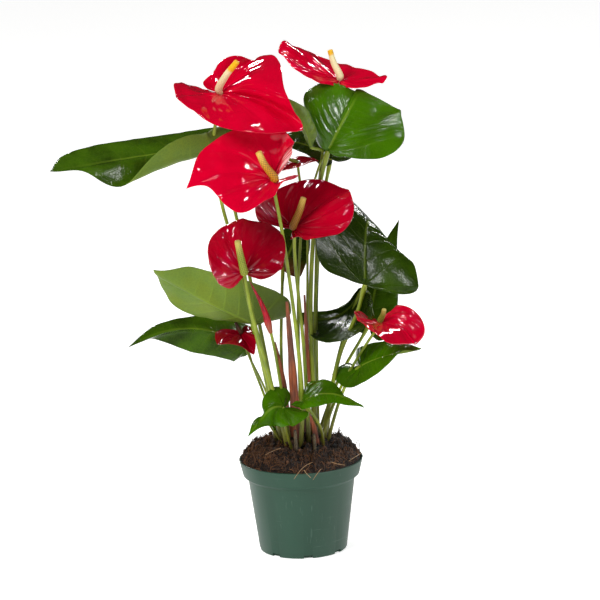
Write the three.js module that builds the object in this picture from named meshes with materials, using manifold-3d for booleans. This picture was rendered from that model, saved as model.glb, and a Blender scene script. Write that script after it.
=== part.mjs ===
// Potted anthurium, built with three.js. Millimetres, +Z up. The origin is the centre of the pot's
// underside, and -Y is the side that is seen from the front.
import * as THREE from 'three';
import Module from 'manifold-3d';

const wasm = await Module();
wasm.setup();

// ------------------------------------------------------------------ driving dimensions

const GAP = 0.3; // clearance between neighbouring pieces

const POT = {
  height: 90,
  rimRadius: 60, // outer radius at the mouth
  bandHeight: 15.5, // the plain band under the rim
  bandTaper: 3.6, // how much the band narrows downward
  stepHeight: 3, // chamfered shoulder under the band
  bodyRadius: 51.8, // outer radius just under the shoulder
  footRadius: 42.4,
  wall: 1.5,
  floor: 2,
  segments: 40,
};

// Drainage slots in the edge of the foot.
const SLOT = { count: 8, width: 8.7, height: 3.2, depth: 7, firstAngle: -84 };

const SOIL = {
  edgeDrop: 2.5, // below the rim
  mound: 13, // height of the middle above the edge
  relief: 2.2, // height of the lumps
  rings: 6,
  segments: 30,
};

const BLADE_THICKNESS = 0.8;
const FOOT_DEPTH = 16; // how far a stalk stands in the soil
const CLEAR_OF_SOIL = 3; // height above the soil up to which a stalk is upright
const STALK_SIDES = 5;

// ------------------------------------------------------------------ colours

const COLOUR = {
  pot: 0x3e5c4c,
  soil: 0x4a2f22,
  leafBright: 0x3f7a14,
  leafDark: 0x1f4014,
  leafPale: 0x6f8f3c,
  stalk: 0x8a9a3c,
  spathe: 0xc4082a,
  spatheDark: 0x8c0a20,
  spadixCream: 0xf2e6b0,
  spadixGold: 0xc9952c,
  spadixGreen: 0x9aa038,
  sheath: 0x96503a,
  root: 0x9a8a5a,
};

const finish = (colour, roughness) =>
  new THREE.MeshStandardMaterial({ color: colour, roughness, metalness: 0, side: THREE.FrontSide });

// ------------------------------------------------------------------ solids

const vec = (list) => new THREE.Vector3(list[0], list[1], list[2]);
const lerp = THREE.MathUtils.lerp;
const radians = THREE.MathUtils.degToRad;
const clamp = THREE.MathUtils.clamp;

// A closed surface as a solid: points are [x, y, z], faces are index triples that turn outward.
function solidFromFaces(points, faces) {
  const vertProperties = new Float32Array(points.flat());
  const triVerts = new Uint32Array(faces.flat());
  return new wasm.Manifold(new wasm.Mesh({ numProp: 3, vertProperties, triVerts }));
}

// A three.js geometry as a solid, with the vertices that share a place welded into one.
function solidFromGeometry(geometry) {
  const position = geometry.getAttribute('position');
  const index = geometry.getIndex();
  const count = index ? index.count : position.count;
  const seen = new Map();
  const points = [];
  const corners = [];
  for (let i = 0; i < count; i += 1) {
    const at = index ? index.getX(i) : i;
    const point = [position.getX(at), position.getY(at), position.getZ(at)];
    const key = point.map((value) => Math.round(value * 1e4)).join();
    if (!seen.has(key)) {
      seen.set(key, points.length);
      points.push(point);
    }
    corners.push(seen.get(key));
  }
  const faces = [];
  for (let i = 0; i < corners.length; i += 3) {
    const [a, b, c] = corners.slice(i, i + 3);
    if (a !== b && b !== c && c !== a) {
      faces.push([a, b, c]);
    }
  }
  return solidFromFaces(points, faces);
}

function meshFromSolid(name, solid, material) {
  const { vertProperties, triVerts } = solid.getMesh();
  const geometry = new THREE.BufferGeometry();
  geometry.setAttribute('position', new THREE.BufferAttribute(new Float32Array(vertProperties), 3));
  geometry.setIndex(new THREE.BufferAttribute(new Uint32Array(triVerts), 1));
  geometry.computeVertexNormals();
  const mesh = new THREE.Mesh(geometry, material);
  mesh.name = name;
  return mesh;
}

const evenly = (count) => Array.from({ length: count + 1 }, (_, i) => i / count);

// A closed tube along a curve, with a ring of points at each station from 0 to 1. radius(u, angle, i, j)
// gives its section. The rings don't turn about the curve.
function tube(curve, stations, sides, radius) {
  const points = [];
  const faces = [];
  const rings = stations.length - 1;
  const normal = new THREE.Vector3(1, 0, 0.01);
  stations.forEach((u, i) => {
    const centre = curve.getPointAt(u);
    const tangent = curve.getTangentAt(u);
    normal.addScaledVector(tangent, -normal.dot(tangent)).normalize();
    const binormal = new THREE.Vector3().crossVectors(tangent, normal);
    for (let j = 0; j < sides; j += 1) {
      const angle = (2 * Math.PI * j) / sides;
      const r = radius(u, angle, i, j);
      const point = centre
        .clone()
        .addScaledVector(normal, r * Math.cos(angle))
        .addScaledVector(binormal, r * Math.sin(angle));
      points.push(point.toArray());
    }
  });
  for (let i = 0; i < rings; i += 1) {
    for (let j = 0; j < sides; j += 1) {
      const a = i * sides + j;
      const b = i * sides + ((j + 1) % sides);
      faces.push([a, b, b + sides], [a, b + sides, a + sides]);
    }
  }
  for (let j = 1; j < sides - 1; j += 1) {
    const end = rings * sides;
    faces.push([0, j + 1, j], [end, end + j, end + j + 1]);
  }
  return solidFromFaces(points, faces);
}

// ------------------------------------------------------------------ blades: leaves and spathes

// Half of a heart-shaped outline, from the notch at the stalk round the lobe to the tip. The first number
// runs along the midrib: negative in lobe lengths, positive in blade lengths. The second is in half widths.
const OUTLINE = {
  leaf: [
    [-0.12, 0], [-0.66, 0.1], [-1, 0.4], [-0.7, 0.8], [0, 1],
    [0.35, 0.87], [0.66, 0.5], [0.88, 0.17], [1, 0],
  ],
  spathe: [
    [-0.14, 0], [-0.7, 0.1], [-1, 0.42], [-0.72, 0.82], [0, 1],
    [0.38, 0.93], [0.7, 0.66], [0.93, 0.22], [1, 0],
  ],
  broad: [
    [-0.14, 0], [-0.6, 0.12], [-1, 0.5], [-0.6, 0.86], [0.2, 1.03],
    [0.5, 0.9], [0.76, 0.56], [0.93, 0.17], [1, 0],
  ],
  late: [
    [-0.14, 0], [-0.8, 0.06], [-1, 0.22], [-0.4, 0.5], [0.22, 0.84],
    [0.56, 1], [0.82, 0.84], [0.96, 0.4], [1, 0],
  ],
  square: [
    [-0.14, 0], [-0.75, 0.15], [-1, 0.5], [-0.8, 0.88], [-0.2, 1],
    [0.35, 0.98], [0.68, 0.7], [0.92, 0.25], [1, 0],
  ],
  blunt: [
    [-0.14, 0], [-0.7, 0.12], [-1, 0.45], [-0.7, 0.85], [0.1, 1],
    [0.5, 0.87], [0.76, 0.66], [0.91, 0.36], [1, 0],
  ],
  hooked: [
    [-0.14, 0], [-0.75, 0.12], [-1, 0.3], [-0.5, 0.68], [0, 0.9],
    [0.35, 1], [0.58, 0.68], [0.76, 0.14], [1, 0],
  ],
  open: [
    [-0.1, 0], [-0.35, 0.15], [-0.8, 0.3], [-1, 0.5], [-0.7, 0.82],
    [0, 1], [0.36, 0.87], [0.68, 0.48], [0.89, 0.16], [1, 0],
  ],
  slant: [
    [-0.1, 0], [-0.3, 0.05], [-0.3, 0.13], [0.12, 0.3], [0.36, 0.78],
    [0.58, 1], [0.74, 0.8], [0.9, 0.34], [1, 0],
  ],
  round: [
    [-0.1, 0], [-0.3, 0.05], [0, 0.2], [0.12, 0.5], [0.3, 0.85],
    [0.56, 1], [0.8, 0.86], [0.95, 0.4], [1, 0],
  ],
  slim: [
    [-0.2, 0], [-0.7, 0.2], [-1, 0.5], [-0.6, 0.9], [0.1, 1],
    [0.4, 0.88], [0.7, 0.55], [0.9, 0.2], [1, 0],
  ],
};

// The outline's half as a smooth curve, cut into equal steps of its parameter.
function halfOutline(kind, steps) {
  const curve = new THREE.CatmullRomCurve3(
    OUTLINE[kind].map(([x, y]) => new THREE.Vector3(x, y, 0)),
    false,
    'centripetal',
  );
  return Array.from({ length: steps + 1 }, (_, i) => curve.getPoint(i / steps));
}

// Where a point of the flat blade lies in space. along is negative in lobe lengths and positive in blade
// lengths, across is in half widths, positive on the left of the midrib seen from above with the tip away.
// The midrib is a quadratic curve through junction, middle and tip. Each half leaves it at its fold angle
// and curls up by its cup angle, and both angles pass from their first value at the stalk to their second
// at the tip, the sooner the smaller settle is.
function bladePoint(blade, along, across, lift) {
  const junction = vec(blade.junction);
  const middle = vec(blade.middle);
  const tip = vec(blade.tip);
  const ends = junction.clone().add(tip);
  const control = middle.clone().multiplyScalar(2).addScaledVector(ends, -0.5);
  const left = across >= 0;
  const side = left ? 0 : 1;
  const s = clamp(along, 0, 1);
  const place = junction
    .clone()
    .multiplyScalar((1 - s) * (1 - s))
    .addScaledVector(control, 2 * s * (1 - s))
    .addScaledVector(tip, s * s);
  const tangent = junction
    .clone()
    .multiplyScalar(s - 1)
    .addScaledVector(control, 1 - 2 * s)
    .addScaledVector(tip, s)
    .normalize();
  const face = vec(blade.face).lerp(vec(blade.faceTip ?? blade.face), s);
  face.addScaledVector(tangent, -face.dot(tangent)).normalize();
  const leftward = new THREE.Vector3().crossVectors(face, tangent);

  const back = Math.max(0, -along);
  const distance = Math.abs(across) * blade.half[side];
  const settled = s ** (blade.settle ?? 1);
  const fold = radians(lerp(blade.fold[side][0], blade.fold[side][1], settled));
  const cup = radians(lerp(blade.cup[side][0], blade.cup[side][1], settled));
  const bend = (Math.abs(cup) < 1e-3 ? 1e-3 : cup) / blade.half[side];
  const outward = (Math.sin(fold + bend * distance) - Math.sin(fold)) / bend;
  const upward = (Math.cos(fold) - Math.cos(fold + bend * distance)) / bend;
  const wave = blade.wave * across * across * Math.sin(blade.waves * Math.PI * along + (left ? 0 : 2));
  const lobeRise = (blade.lobeRise?.[side] ?? 0) * back * back;
  const slope = across === 0 ? 0 : fold + bend * distance; // the lift is square to the curled surface

  return place
    .addScaledVector(tangent, -back * blade.lobe[side])
    .addScaledVector(leftward, (left ? 1 : -1) * (outward - lift * Math.sin(slope)))
    .addScaledVector(face, upward + wave + lobeRise + lift * Math.cos(slope))
    .toArray();
}

// A blade of even thickness: an upper and a lower sheet with the same triangles, joined round the margin.
// The sheets spread from the junction in rings, as the main veins do.
function bladeSolid(blade, thickness = BLADE_THICKNESS) {
  const steps = blade.steps ?? 9;
  const rings = blade.rings ?? 4;
  const [leftKind, rightKind] = blade.kind ?? ['leaf', 'leaf'];
  const outline = [
    ...halfOutline(leftKind, steps).map((point) => [point.x, point.y]),
    ...halfOutline(rightKind, steps).slice(1, -1).reverse().map((point) => [point.x, -point.y]),
  ];
  const round = outline.length;
  const points = [];
  const faces = [];
  const sheets = [thickness / 2, -thickness / 2];
  for (const lift of sheets) {
    points.push(bladePoint(blade, 0, 0, lift));
    for (let ring = 1; ring <= rings; ring += 1) {
      const share = ring / rings;
      for (const [along, across] of outline) {
        points.push(bladePoint(blade, along * share, across * share, lift));
      }
    }
  }
  const sheetSize = 1 + rings * round;
  const inSheet = (ring, j) => (ring === 0 ? 0 : 1 + (ring - 1) * round + (j % round));
  const at = (sheet, ring, j) => sheet * sheetSize + inSheet(ring, j);
  for (let j = 0; j < round; j += 1) {
    faces.push([at(0, 0, 0), at(0, 1, j + 1), at(0, 1, j)]);
    faces.push([at(1, 0, 0), at(1, 1, j), at(1, 1, j + 1)]);
    for (let ring = 1; ring < rings; ring += 1) {
      faces.push([at(0, ring, j), at(0, ring, j + 1), at(0, ring + 1, j + 1)]);
      faces.push([at(0, ring, j), at(0, ring + 1, j + 1), at(0, ring + 1, j)]);
      faces.push([at(1, ring, j), at(1, ring + 1, j + 1), at(1, ring, j + 1)]);
      faces.push([at(1, ring, j), at(1, ring + 1, j), at(1, ring + 1, j + 1)]);
    }
    faces.push([at(0, rings, j), at(0, rings, j + 1), at(1, rings, j + 1)]);
    faces.push([at(0, rings, j), at(1, rings, j + 1), at(1, rings, j)]);
  }
  return solidFromFaces(points, faces);
}

// ------------------------------------------------------------------ the soil's surface

const innerRadiusAtSoil = POT.rimRadius - POT.wall - 3 * GAP; // the mouth widens upward

// Height of the soil at a place: a mound with lumps, made of a few waves that don't line up.
function soilHeight(x, y) {
  const share = clamp(Math.hypot(x, y) / innerRadiusAtSoil, 0, 1);
  const mound = SOIL.mound * (1 - share ** 2.2);
  const broad = Math.sin(0.21 * x + 1.3) * Math.cos(0.17 * y - 0.6);
  const narrow = Math.sin(0.34 * y + 0.11 * x + 2);
  const lumps = SOIL.relief * (0.6 * broad + 0.4 * narrow) * (1 - share ** 6);
  return POT.height - SOIL.edgeDrop + mound + lumps;
}

// ------------------------------------------------------------------ stalks

const holes = []; // one for each stalk that stands in the soil

// The route of a stalk: upright in the soil at its foot, then through the places given.
function stalkCurve(foot, places) {
  const [x, y] = foot;
  const top = soilHeight(x, y);
  const upright = [top - FOOT_DEPTH, top - FOOT_DEPTH / 3, top + CLEAR_OF_SOIL].map((z) => vec([x, y, z]));
  return new THREE.CatmullRomCurve3([...upright, ...places.map(vec)], false, 'centripetal');
}

// Where the rings of a stalk lie: one at its foot, one where it leaves the soil, the others evenly above.
function stalkStations(curve, rings) {
  const leaving = (FOOT_DEPTH + CLEAR_OF_SOIL) / curve.getLength();
  return [0, ...evenly(rings - 1).map((share) => lerp(leaving, 1, share))];
}

// A stalk that stands in the soil. radii are its radius at the foot and at the top.
function stalkSolid(foot, places, radii, rings = 9, sides = STALK_SIDES) {
  holes.push({ foot, radius: radii[0] });
  const curve = stalkCurve(foot, places);
  const slimming = (u) => lerp(radii[0], radii[1], Math.min(1, 1.6 * u));
  return tube(curve, stalkStations(curve, rings), sides, slimming);
}

// ------------------------------------------------------------------ leaves

const LEAVES = {
  leaf_long_left: {
    colour: COLOUR.leafDark, foot: [-19, 13], via: [[-38, 20, 230], [-60, 28, 350]], radii: [2.4, 1.6],
    junction: [-67, 30, 394], middle: [-150, 8, 388], tip: [-228, -25, 383],
    face: [-0.1, -0.5, 0.87], half: [42, 32], lobe: [18, 22], settle: 0.45, kind: ['leaf', 'blunt'],
    fold: [[100, -30], [5, 8]], cup: [[30, -20], [-10, -20]], wave: 2, waves: 2,
  },
  leaf_broad_top: {
    colour: COLOUR.leafBright, foot: [15, 6], via: [[14, 4, 250], [24, 0, 350]], radii: [2.7, 2],
    junction: [34, -5, 391], middle: [51, 2, 421], tip: [68, 24, 444],
    face: [0.1, -0.85, 0.5], faceTip: [0.1, -0.5, 0.85], half: [54, 60], lobe: [8, 4],
    kind: ['late', 'round'],
    fold: [[10, 0], [28, 5]], cup: [[-35, -35], [-10, -10]], wave: 2.5, waves: 2,
  },
  leaf_young_rolled: {
    colour: COLOUR.leafPale, foot: [8, 17],
    via: [[11, 16, 250], [16, 9, 340], [27, 6, 378], [32, 6, 387]], radii: [1.8, 1.1],
    junction: [18, -18, 397], middle: [12, -20, 420], tip: [-2, -16, 444],
    face: [0.3, 0.9, 0.2], half: [15, 15], lobe: [7, 7], kind: ['slim', 'slim'], steps: 8, rings: 3,
    fold: [[5, 5], [5, 5]], cup: [[110, 110], [110, 110]], wave: 0, waves: 1,
  },
  leaf_dark_behind_top: {
    colour: COLOUR.leafDark, foot: [17, 14], via: [[20, 26, 250], [28, 42, 330]], radii: [2.2, 1.7],
    junction: [37, 48, 374], middle: [8, 64, 387], tip: [-28, 88, 385],
    face: [0.1, -0.25, 0.97], half: [30, 30], lobe: [13, 13],
    fold: [[5, 0], [5, 0]], cup: [[-20, -20], [-20, -20]], wave: 2, waves: 2,
  },
  leaf_big_right: {
    colour: COLOUR.leafDark, foot: [22, 2], via: [[40, 0, 190], [58, -4, 232]], radii: [2.6, 2],
    junction: [66, -8, 261], middle: [70, 28, 311], tip: [80, 84, 296],
    face: [0, -0.85, 0.5], faceTip: [0.6, -0.1, 0.8], half: [54, 57], lobe: [0, 12],
    kind: ['broad', 'leaf'],
    fold: [[25, 5], [-12, 0]], cup: [[10, -15], [-30, -40]], wave: 2, waves: 2,
  },
  leaf_dark_right_low: {
    colour: COLOUR.leafDark, foot: [25, 9], via: [[36, 22, 170], [50, 32, 215]], radii: [2.2, 1.7],
    junction: [60, 34, 240], middle: [36, 44, 222], tip: [6, 50, 202],
    face: [0.1, -0.75, 0.65], half: [26, 34], lobe: [16, 16],
    fold: [[5, 0], [5, 0]], cup: [[-20, -20], [-20, -20]], wave: 2, waves: 2,
  },
  leaf_dark_right_upright: {
    colour: COLOUR.leafDark, foot: [17, 20], via: [[40, 34, 160], [62, 42, 196]], radii: [2, 1.5],
    junction: [71, 46, 210], middle: [82, 62, 256], tip: [103, 80, 306],
    face: [-0.2, -0.9, 0.3], half: [16, 26], lobe: [10, 16],
    fold: [[5, 0], [5, 0]], cup: [[-20, -20], [-20, -20]], wave: 2, waves: 2,
  },
  leaf_right_low: {
    colour: COLOUR.leafBright, foot: [26, -5], via: [[38, -8, 145], [50, -10, 172]], radii: [2, 1.5],
    junction: [60, -16, 183], middle: [85, -32, 196], tip: [117, -54, 208],
    face: [0, -0.6, 0.8], half: [28, 25], lobe: [20, 38], kind: ['open', 'open'],
    fold: [[15, 0], [0, 0]], cup: [[-5, -10], [-20, -15]], wave: 1.5, waves: 2,
  },
  leaf_pale_left: {
    colour: COLOUR.leafPale, foot: [-23, -2], via: [[-30, -2, 160], [-38, -4, 205]], radii: [2.4, 1.8],
    junction: [-43, -6, 226], middle: [-90, -20, 255], tip: [-134, -34, 287],
    face: [0.25, 0.85, 0.45], half: [50, 36], lobe: [34, 10], kind: ['leaf', 'slant'],
    fold: [[5, 0], [5, 0]], cup: [[10, 5], [10, 5]], wave: 1.5, waves: 2,
  },
  leaf_dark_left_low: {
    colour: COLOUR.leafDark, foot: [-21, 4], via: [[-32, 8, 145], [-44, 19, 178]], radii: [1.6, 1.2],
    junction: [-50, 25, 196], middle: [-105, 18, 217], tip: [-163, 2, 204],
    face: [0.1, -0.45, 0.9], half: [27, 26], lobe: [6, 8],
    fold: [[5, 0], [5, 0]], cup: [[-15, -10], [-10, -10]], wave: 1.5, waves: 2,
  },
  leaf_small_front_left: {
    colour: COLOUR.leafBright, foot: [-8, -22], via: [[-13, -34, 124]], radii: [1.8, 1.4],
    junction: [-16, -44, 152], middle: [-28, -55, 153], tip: [-41, -62, 138],
    face: [-0.25, -0.8, 0.6], half: [25, 25], lobe: [16, 18], rings: 3,
    fold: [[8, 0], [8, 0]], cup: [[-15, -10], [-20, -15]], wave: 1, waves: 2,
  },
  leaf_small_front_right: {
    colour: COLOUR.leafBright, foot: [22, -17], via: [[20, -26, 125]], radii: [1.8, 1.3],
    junction: [4, -43, 157], middle: [30, -60, 168], tip: [61, -69, 155],
    face: [0, -0.45, 0.9], half: [24, 20], lobe: [13, 13], rings: 3,
    fold: [[8, 0], [8, 0]], cup: [[-15, -10], [-20, -15]], wave: 1, waves: 2,
  },
  leaf_small_front_low: {
    colour: COLOUR.leafBright, foot: [-16, -14], via: [[-22, -16, 116]], radii: [1.4, 1.1],
    junction: [-30, -22, 131], middle: [-39, -30, 133], tip: [-50, -38, 122],
    face: [-0.3, -0.5, 0.8], half: [11, 11], lobe: [7, 7], steps: 7, rings: 2,
    fold: [[8, 0], [8, 0]], cup: [[-15, -10], [-15, -10]], wave: 0.5, waves: 2,
  },
  leaf_dark_middle: {
    colour: COLOUR.leafDark, foot: [-11, 16], via: [[-16, 24, 180], [-14, 28, 240]], radii: [2, 1.5],
    junction: [-12, 30, 272], middle: [2, 44, 300], tip: [14, 66, 322],
    face: [0, -0.8, 0.6], half: [22, 20], lobe: [14, 14],
    fold: [[5, 0], [5, 0]], cup: [[-20, -20], [-20, -20]], wave: 2, waves: 2,
  },
};

// ------------------------------------------------------------------ blooms

// Each has a spathe, which is a blade, a spadix that stands on its upper face, and a stalk behind it.
const BLOOMS = {
  bloom_top_left: {
    colour: COLOUR.spathe, foot: [-17, -8], radii: [2.2, 1.6],
    via: [[-27, -13, 160], [-40, -28, 225], [-48, -39, 270], [-57, -20, 303], [-69, 8, 345], [-74, 4, 400]],
    junction: [-65, -15, 450], middle: [-26, -38, 444], tip: [11, -50, 419],
    face: [0.1, -0.6, 0.78], half: [42, 46], lobe: [22, 41], lobeRise: [0, 10],
    kind: ['spathe', 'spathe'],
    fold: [[22, 8], [24, 0]], cup: [[10, -15], [-10, -20]], wave: 4, waves: 3,
    spadix: { colour: COLOUR.spadixCream, tip: [-47, -30, 482], bow: [-8, -2, 2], radius: 4.2 },
  },
  bloom_top_right: {
    colour: COLOUR.spathe, foot: [12, 13],
    via: [[19, 12, 250], [26, 17, 360], [36, 38, 415], [43, 41, 440]], radii: [2.2, 1.6],
    junction: [47, 36, 452], middle: [50, 63, 456], tip: [56, 88, 456],
    face: [0.28, -0.1, 0.95], half: [66, 48], lobe: [26, 20], lobeRise: [-6, 0],
    kind: ['square', 'spathe'],
    fold: [[10, 8], [8, 8]], cup: [[6, 0], [10, 0]], wave: 3, waves: 3,
    spadix: { colour: COLOUR.spadixCream, tip: [39, 33, 482], bow: [0, 0, 0], radius: 4.2 },
  },
  bloom_middle_left: {
    colour: COLOUR.spathe, foot: [0, -20], via: [[-6, -34, 200], [-10, -46, 320]], radii: [2.4, 1.6],
    junction: [-19, -58, 375], middle: [-60, -70, 384], tip: [-99, -66, 370],
    face: [-0.1, -0.85, 0.5], half: [33, 52], lobe: [28, 26], kind: ['hooked', 'blunt'], settle: 0.35,
    fold: [[5, 0], [15, 0]], cup: [[-20, -20], [120, -10]], wave: 2, waves: 2,
    spadix: { colour: COLOUR.spadixGold, tip: [-31, -72, 404], bow: [0, -3, 0], radius: 4.2 },
  },
  bloom_middle_right: {
    colour: COLOUR.spatheDark, foot: [8, -10], via: [[6, -14, 200], [0, -20, 290]], radii: [2.2, 1.6],
    junction: [0, -30, 323], middle: [27, -24, 343], tip: [53, -16, 355],
    face: [-0.1, -0.85, 0.5], half: [39, 31], lobe: [20, 10], kind: ['spathe', 'late'],
    fold: [[15, 5], [15, 5]], cup: [[10, 5], [20, 10]], wave: 1, waves: 2,
    spadix: { colour: COLOUR.spadixGold, tip: [10, -42, 354], bow: [0, -2, 0], radius: 3.9 },
  },
  bloom_left: {
    colour: COLOUR.spatheDark, foot: [-13, -17], via: [[-28, -28, 180], [-43, -46, 250]],
    radii: [2.3, 1.6],
    junction: [-48, -57, 287], middle: [-49, -46, 317], tip: [-48, -27, 337],
    face: [0, -0.75, 0.66], half: [37, 40], lobe: [16, 8], kind: ['spathe', 'broad'],
    fold: [[15, 5], [15, 5]], cup: [[20, 5], [20, 5]], wave: 1, waves: 2,
    spadix: { colour: COLOUR.spadixGreen, tip: [-53, -74, 321], bow: [0, -2, 0], radius: 3.9 },
  },
  bloom_right: {
    colour: COLOUR.spathe, foot: [19, -9],
    via: [[36, -4, 150], [45, -4, 168], [51, -11, 180], [68, -28, 211]], radii: [1.8, 1.3],
    junction: [80, -35, 230], middle: [96, -46, 227], tip: [110, -56, 213],
    face: [0.1, -0.6, 0.8], half: [25, 20], lobe: [8, 25], lobeRise: [0, 18], kind: ['late', 'leaf'],
    rings: 3,
    fold: [[20, 5], [10, 5]], cup: [[10, 5], [10, 5]], wave: 1, waves: 2,
    spadix: { colour: COLOUR.spadixGreen, tip: [83, -42, 244], bow: [0, 0, 0], radius: 3 },
  },
  bloom_low_left: {
    colour: COLOUR.spatheDark, foot: [-15, 5], via: [[-34, 8, 160], [-48, 9, 192]], radii: [1.4, 1.0],
    junction: [-54, 9, 212], middle: [-52, -2, 208], tip: [-48, -14, 196],
    face: [0, -0.7, 0.7], half: [15, 24], lobe: [12, 6], kind: ['spathe', 'spathe'], steps: 8, rings: 3,
    fold: [[5, 5], [10, 10]], cup: [[-10, -10], [-10, -10]], wave: 1, waves: 2,
    spadix: { colour: COLOUR.sheath, tip: [-59, 8, 224], bow: [0, 0, 0], radius: 2.2 },
  },
  bloom_behind: {
    colour: COLOUR.spatheDark, foot: [1, 8], via: [[2, 10, 250], [8, 8, 340]], radii: [1.8, 1.3],
    junction: [5, 5, 378], middle: [14, -4, 381], tip: [23, -12, 381],
    face: [0, -0.15, 0.98], half: [9, 14], lobe: [12, 12], kind: ['spathe', 'spathe'], steps: 8,
    rings: 3,
    fold: [[5, 5], [5, 5]], cup: [[10, 10], [10, 10]], wave: 1, waves: 2,
    spadix: { colour: COLOUR.spadixGreen, tip: [-1, 2, 391], bow: [0, 0, 0], radius: 2.4 },
  },
};

// The direction of a blade's upper face at its junction.
function faceAtJunction(blade) {
  const onMidrib = vec(bladePoint(blade, 0, 0, 0));
  return vec(bladePoint(blade, 0, 0, 1)).sub(onMidrib).normalize();
}

function largestPiece(solid) {
  return solid.decompose().reduce((best, piece) => (piece.volume() > best.volume() ? piece : best));
}

// The spadix: a blunt rod with rows of florets, which stands off the blade by the gap.
function spadixSolid(blade, clearance) {
  const face = faceAtJunction(blade);
  const { tip, bow, radius } = blade.spadix;
  const start = vec(blade.junction).addScaledVector(face, BLADE_THICKNESS / 2 + GAP);
  const end = vec(tip);
  const length = end.distanceTo(start);
  const shoulder = start.clone().addScaledVector(face, 0.12 * length);
  const middle = start.clone().lerp(end, 0.55).add(vec(bow));
  const curve = new THREE.CatmullRomCurve3([start, shoulder, middle, end], false, 'centripetal');
  const rings = Math.max(7, Math.round(length / 3.2));
  const swell = (u) => 0.55 + 3.6 * u; // from the narrow base
  const taper = (u) => 1 - 0.3 * u;
  const dome = (u) => 5.5 * Math.sqrt(Math.max(0, 1.006 - u)) - 0.1; // the blunt end
  const profile = (u) => radius * Math.min(swell(u), taper(u), dome(u));
  const floret = (i, j) => ((i + j) % 2 === 0 ? 0.96 : 1.06); // florets stand out in alternate rows
  const rod = tube(curve, evenly(rings), 8, (u, angle, i, j) => profile(u) * floret(i, j));
  return largestPiece(rod.subtract(clearance));
}

// ------------------------------------------------------------------ bud, sheaths, roots

const BUD = {
  foot: [-25, -31, 222],
  middle: [-31, -38, 247],
  tip: [-43, -52, 277],
  radius: 4.2,
  stalkFoot: [-10, -10],
  stalkVia: [[-17, -20, 165], [-22, -28, 205]],
  stalkRadii: [1.9, 1.4],
};

const SHEATHS = {
  sheath_left: { foot: [-12, 0], top: [-21, 0, 206], via: [-16, 0, 160], width: 4.2, depth: 2.2 },
  sheath_middle: { foot: [-3, -10], top: [-9, -23, 250], via: [-5, -14, 165], width: 4.6, depth: 2.4 },
  sheath_right: { foot: [6, 2], top: [8, 4, 250], via: [9, 3, 180], width: 3.2, depth: 2.2 },
  sheath_low: { foot: [15, -19], top: [10, -23, 137], via: [14, -21, 122], width: 4.2, depth: 2 },
};

const ROOTS = {
  root_left: { foot: [-4, -32], via: [[-5, -35, 127]], radius: 2 },
  root_right: { foot: [14, -30], via: [[13, -32, 122]], radius: 1.8 },
};

// ------------------------------------------------------------------ pot and soil

function potSolid() {
  const { height, rimRadius, bandHeight, bandTaper, stepHeight, bodyRadius, footRadius, wall, floor } = POT;
  const bandFoot = height - bandHeight;
  const bodyTop = bandFoot - stepHeight;
  const profile = [
    [0, 0],
    [footRadius, 0],
    [bodyRadius, bodyTop],
    [rimRadius - bandTaper, bandFoot],
    [rimRadius, height],
    [rimRadius - wall, height],
    [rimRadius - bandTaper - wall, bandFoot],
    [bodyRadius - wall, bodyTop],
    [footRadius - wall, floor],
    [0, floor],
  ].map(([r, z]) => new THREE.Vector2(r, z));
  const shell = new THREE.LatheGeometry(profile, POT.segments).rotateX(Math.PI / 2);
  let pot = solidFromGeometry(shell);
  for (let k = 0; k < SLOT.count; k += 1) {
    const angle = radians(SLOT.firstAngle + (360 * k) / SLOT.count);
    const box = new THREE.BoxGeometry(SLOT.depth, SLOT.width, SLOT.height * 2);
    box.translate(footRadius, 0, 0).rotateZ(angle);
    pot = pot.subtract(solidFromGeometry(box));
  }
  return pot;
}

function soilSolid() {
  const { wall, bandHeight, bandTaper, stepHeight } = POT;
  const bandFoot = POT.height - bandHeight;
  const inset = wall + GAP;
  const side = [
    [POT.footRadius - inset, POT.floor + GAP],
    [POT.bodyRadius - inset, bandFoot - stepHeight],
    [POT.rimRadius - bandTaper - inset, bandFoot],
    [innerRadiusAtSoil, null],
  ];
  const round = SOIL.segments;
  const points = [[0, 0, soilHeight(0, 0)]];
  const faces = [];
  const circle = (radius, height) => {
    const start = points.length;
    for (let j = 0; j < round; j += 1) {
      const angle = (2 * Math.PI * j) / round;
      const x = radius * Math.cos(angle);
      const y = radius * Math.sin(angle);
      points.push([x, y, height ?? soilHeight(x, y)]);
    }
    return start;
  };
  const join = (upper, lower) => {
    for (let j = 0; j < round; j += 1) {
      const next = (j + 1) % round;
      faces.push([upper + j, lower + j, lower + next], [upper + j, lower + next, upper + next]);
    }
  };
  let previous = circle(innerRadiusAtSoil / SOIL.rings, null);
  for (let j = 0; j < round; j += 1) {
    faces.push([0, previous + j, previous + ((j + 1) % round)]);
  }
  for (let ring = 2; ring <= SOIL.rings; ring += 1) {
    const next = circle((innerRadiusAtSoil * ring) / SOIL.rings, null);
    join(previous, next);
    previous = next;
  }
  for (const [radius, height] of side.slice(0, -1).reverse()) {
    const next = circle(radius, height);
    join(previous, next);
    previous = next;
  }
  const middle = points.length;
  points.push([0, 0, POT.floor + GAP]);
  for (let j = 0; j < round; j += 1) {
    faces.push([middle, previous + ((j + 1) % round), previous + j]);
  }
  let soil = solidFromFaces(points, faces);
  for (const hole of holes) {
    const [x, y] = hole.foot;
    const reach = hole.radius / Math.cos(Math.PI / STALK_SIDES) + 2 * GAP;
    const depth = FOOT_DEPTH + GAP;
    const drill = new THREE.CylinderGeometry(reach, reach, 2 * depth, 6).rotateX(Math.PI / 2);
    drill.translate(x, y, soilHeight(x, y));
    soil = soil.subtract(solidFromGeometry(drill));
  }
  return soil;
}

// ------------------------------------------------------------------ assembly

const plant = new THREE.Group();
const place = (name, solid, colour, roughness) =>
  plant.add(meshFromSolid(name, solid, finish(colour, roughness)));

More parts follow.
